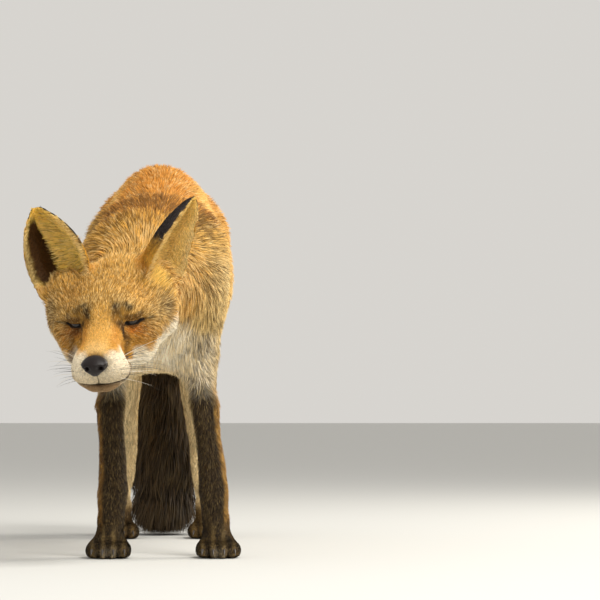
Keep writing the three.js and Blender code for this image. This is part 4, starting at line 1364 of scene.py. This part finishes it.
roll = draw.normal(0, 0.45, total)
across = unit(sway * np.cos(roll)[:, None] + normal * np.sin(roll)[:, None])
half = (width * draw.uniform(0.75, 1.25, total) * 0.5 * MM)[:, None]
base_at = root - normal * 0.4 * MM
reach_out = across * half
blade = np.stack([base_at - reach_out * 0.8, base_at + reach_out * 0.8,
                  middle_at - reach_out, middle_at + reach_out, tip_at], axis=1)
blade[:, :, 2] = np.maximum(blade[:, :, 2], (0.4 + 0.5 * draw.random((total, 1))) * MM)
tints = np.stack([root_colour_and_shade, root_colour_and_shade, mid_colour, mid_colour, tip_colour], axis=1)
print("tufts from", length.min().round(1), "to", length.max().round(1), "mm long")

# %% [markdown]
# ## Make the coat's pieces
# The coat is parted by region into pieces that stay under 200,000 triangles each. On the map OFBake
# each tuft is a small patch at its root's place on the skin's own unwrap.

# %% Make the coat's pieces
CORNERS = np.array([0, 1, 3, 0, 3, 2, 2, 3, 4])  # the three triangles of a blade
PATCH = np.array([[-1, -1], [1, -1], [-1, 0], [1, 0], [0, 1]]) * 0.0015
MAP_LOW, MAP_SPAN = 0.002, 0.994


def coat_piece(name, chosen, slot):
    """One mesh of the chosen tufts, each a patch 0.003 across at its root's place on the map."""
    count = len(chosen)
    faces = ((np.arange(count) * len(PATCH))[:, None] + CORNERS).ravel()
    mesh = bpy.data.meshes.new(name)
    mesh.vertices.add(count * len(PATCH))
    write(mesh.vertices, "co", blade[chosen])
    mesh.loops.add(len(faces))
    write(mesh.loops, "vertex_index", faces, np.int32)
    mesh.polygons.add(len(faces) // 3)
    write(mesh.polygons, "loop_start", np.arange(0, len(faces), 3), np.int32)
    mesh.update(calc_edges=True)
    mesh.shade_smooth()
    set_tint(mesh, tints[chosen].reshape(-1, 3))
    place = uv_root[chosen]
    low, high = place.min(axis=0), place.max(axis=0)
    place = MAP_LOW + (place - low) / (high - low) * MAP_SPAN
    layer = mesh.uv_layers.new(name="OFBake")
    write(layer.data, "uv", (place[:, None] + PATCH).reshape(-1, 2)[faces])
    return dressed(placed(name, mesh), COAT_FINISH, slot)


share = spots.share
mostly = {region: share[region] > 0.5 for region in share}
PIECES = {  # the first that fits a tuft's root
    "ears": mostly["ear"],
    "face": mostly["head"] & (spots.h[:, 1] < 6),
    "head": mostly["head"],
    "brush": mostly["tail"],
    "forelegs": mostly["leg"] & (spots.y < 200),
    "hindlegs": mostly["leg"],
    "neck": spots.y < 60,
    "back": spots.y < 230,
}
SLOTS = {"ears": "ear", "brush": "brush", "forelegs": "sock", "hindlegs": "sock"}
MOST_TUFTS = 64000  # in a piece
labels = np.select(list(PIECES.values()), list(PIECES), "rump")
made = 0
for label in sorted(set(labels)):
    chosen = np.flatnonzero(labels == label)
    parts = math.ceil(len(chosen) / MOST_TUFTS)
    for k, part in enumerate(np.array_split(chosen, parts), 1):
        name = f"coat_{label}_{k}" if parts > 1 else f"coat_{label}"
        coat_piece(name, part, SLOTS.get(label, "rust"))
        made += 3 * len(part)
        print(name, 3 * len(part), "triangles")
print("coat", made, "triangles")

# %% [markdown]
# ## Camera, floor and light
# The camera stands 2.6 m in front of the forepaws, low down, with a long lens, and looks a little to
# the fox's left so that the fox stands left of the middle. The floor is plain and the light is soft.

# %% Camera, floor and light
AWAY, CAMERA_HIGH = 2600, 140
SENSOR = 36
SEEN_WIDE = 600  # millimetres of the fox's surroundings, at its distance
RIGHT, UP = math.radians(3.0), math.radians(2.55)
camera = placed("camera", bpy.data.cameras.new("camera"))
camera.data.lens = SENSOR * AWAY / SEEN_WIDE
camera.data.clip_end = 50
camera.location = from_body((0, -AWAY, CAMERA_HIGH))
aim = Vector((math.sin(RIGHT) * math.cos(UP), math.cos(RIGHT) * math.cos(UP), math.sin(UP)))
camera.rotation_euler = aim.to_track_quat("-Z", "Y").to_euler()
bpy.context.scene.camera = camera

floor = new_object("floor", [(-30, -30, 0), (30, -30, 0), (30, 60, 0), (-30, 60, 0)], [(0, 1, 2, 3)])
floor.data.materials.append(finish_of("floor", (0.62, 0.62, 0.60), 0.9)[0])
floor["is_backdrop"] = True

sky = bpy.data.worlds.new("sky")
sky.use_nodes = True
feed(sky.node_tree.nodes["Background"].inputs["Color"], (1.0, 0.97, 0.92, 1))
feed(sky.node_tree.nodes["Background"].inputs["Strength"], 0.68)
bpy.context.scene.world = sky


def soft_light(name, place, target, size, power, colour):
    light = placed(name, bpy.data.lights.new(name, "AREA"))
    light.data.size = size
    light.data.energy = power
    light.data.color = colour
    light.location = from_body(place)
    beam = Vector(from_body(target)) - light.location
    light.rotation_euler = beam.to_track_quat("-Z", "Y").to_euler()


soft_light("key", (900, -1300, 2000), (0, 0, 250), 1.2, 50, (1.0, 0.98, 0.93))
soft_light("rim", (1600, 900, 1300), (0, 100, 250), 1.0, 26, (1.0, 0.95, 0.86))
bpy.context.scene.view_settings.view_transform = "Standard"
print("camera at", [round(v, 2) for v in camera.location], "with a lens of", camera.data.lens)

# %% [markdown]
# ## Finish
# The visual model's box and the frame's are written down side by side.

# %% Finish
low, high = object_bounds()
print("size", [round(v, 3) for v in high - low], "frame", [round(v, 3) for v in cad_high - cad_low])
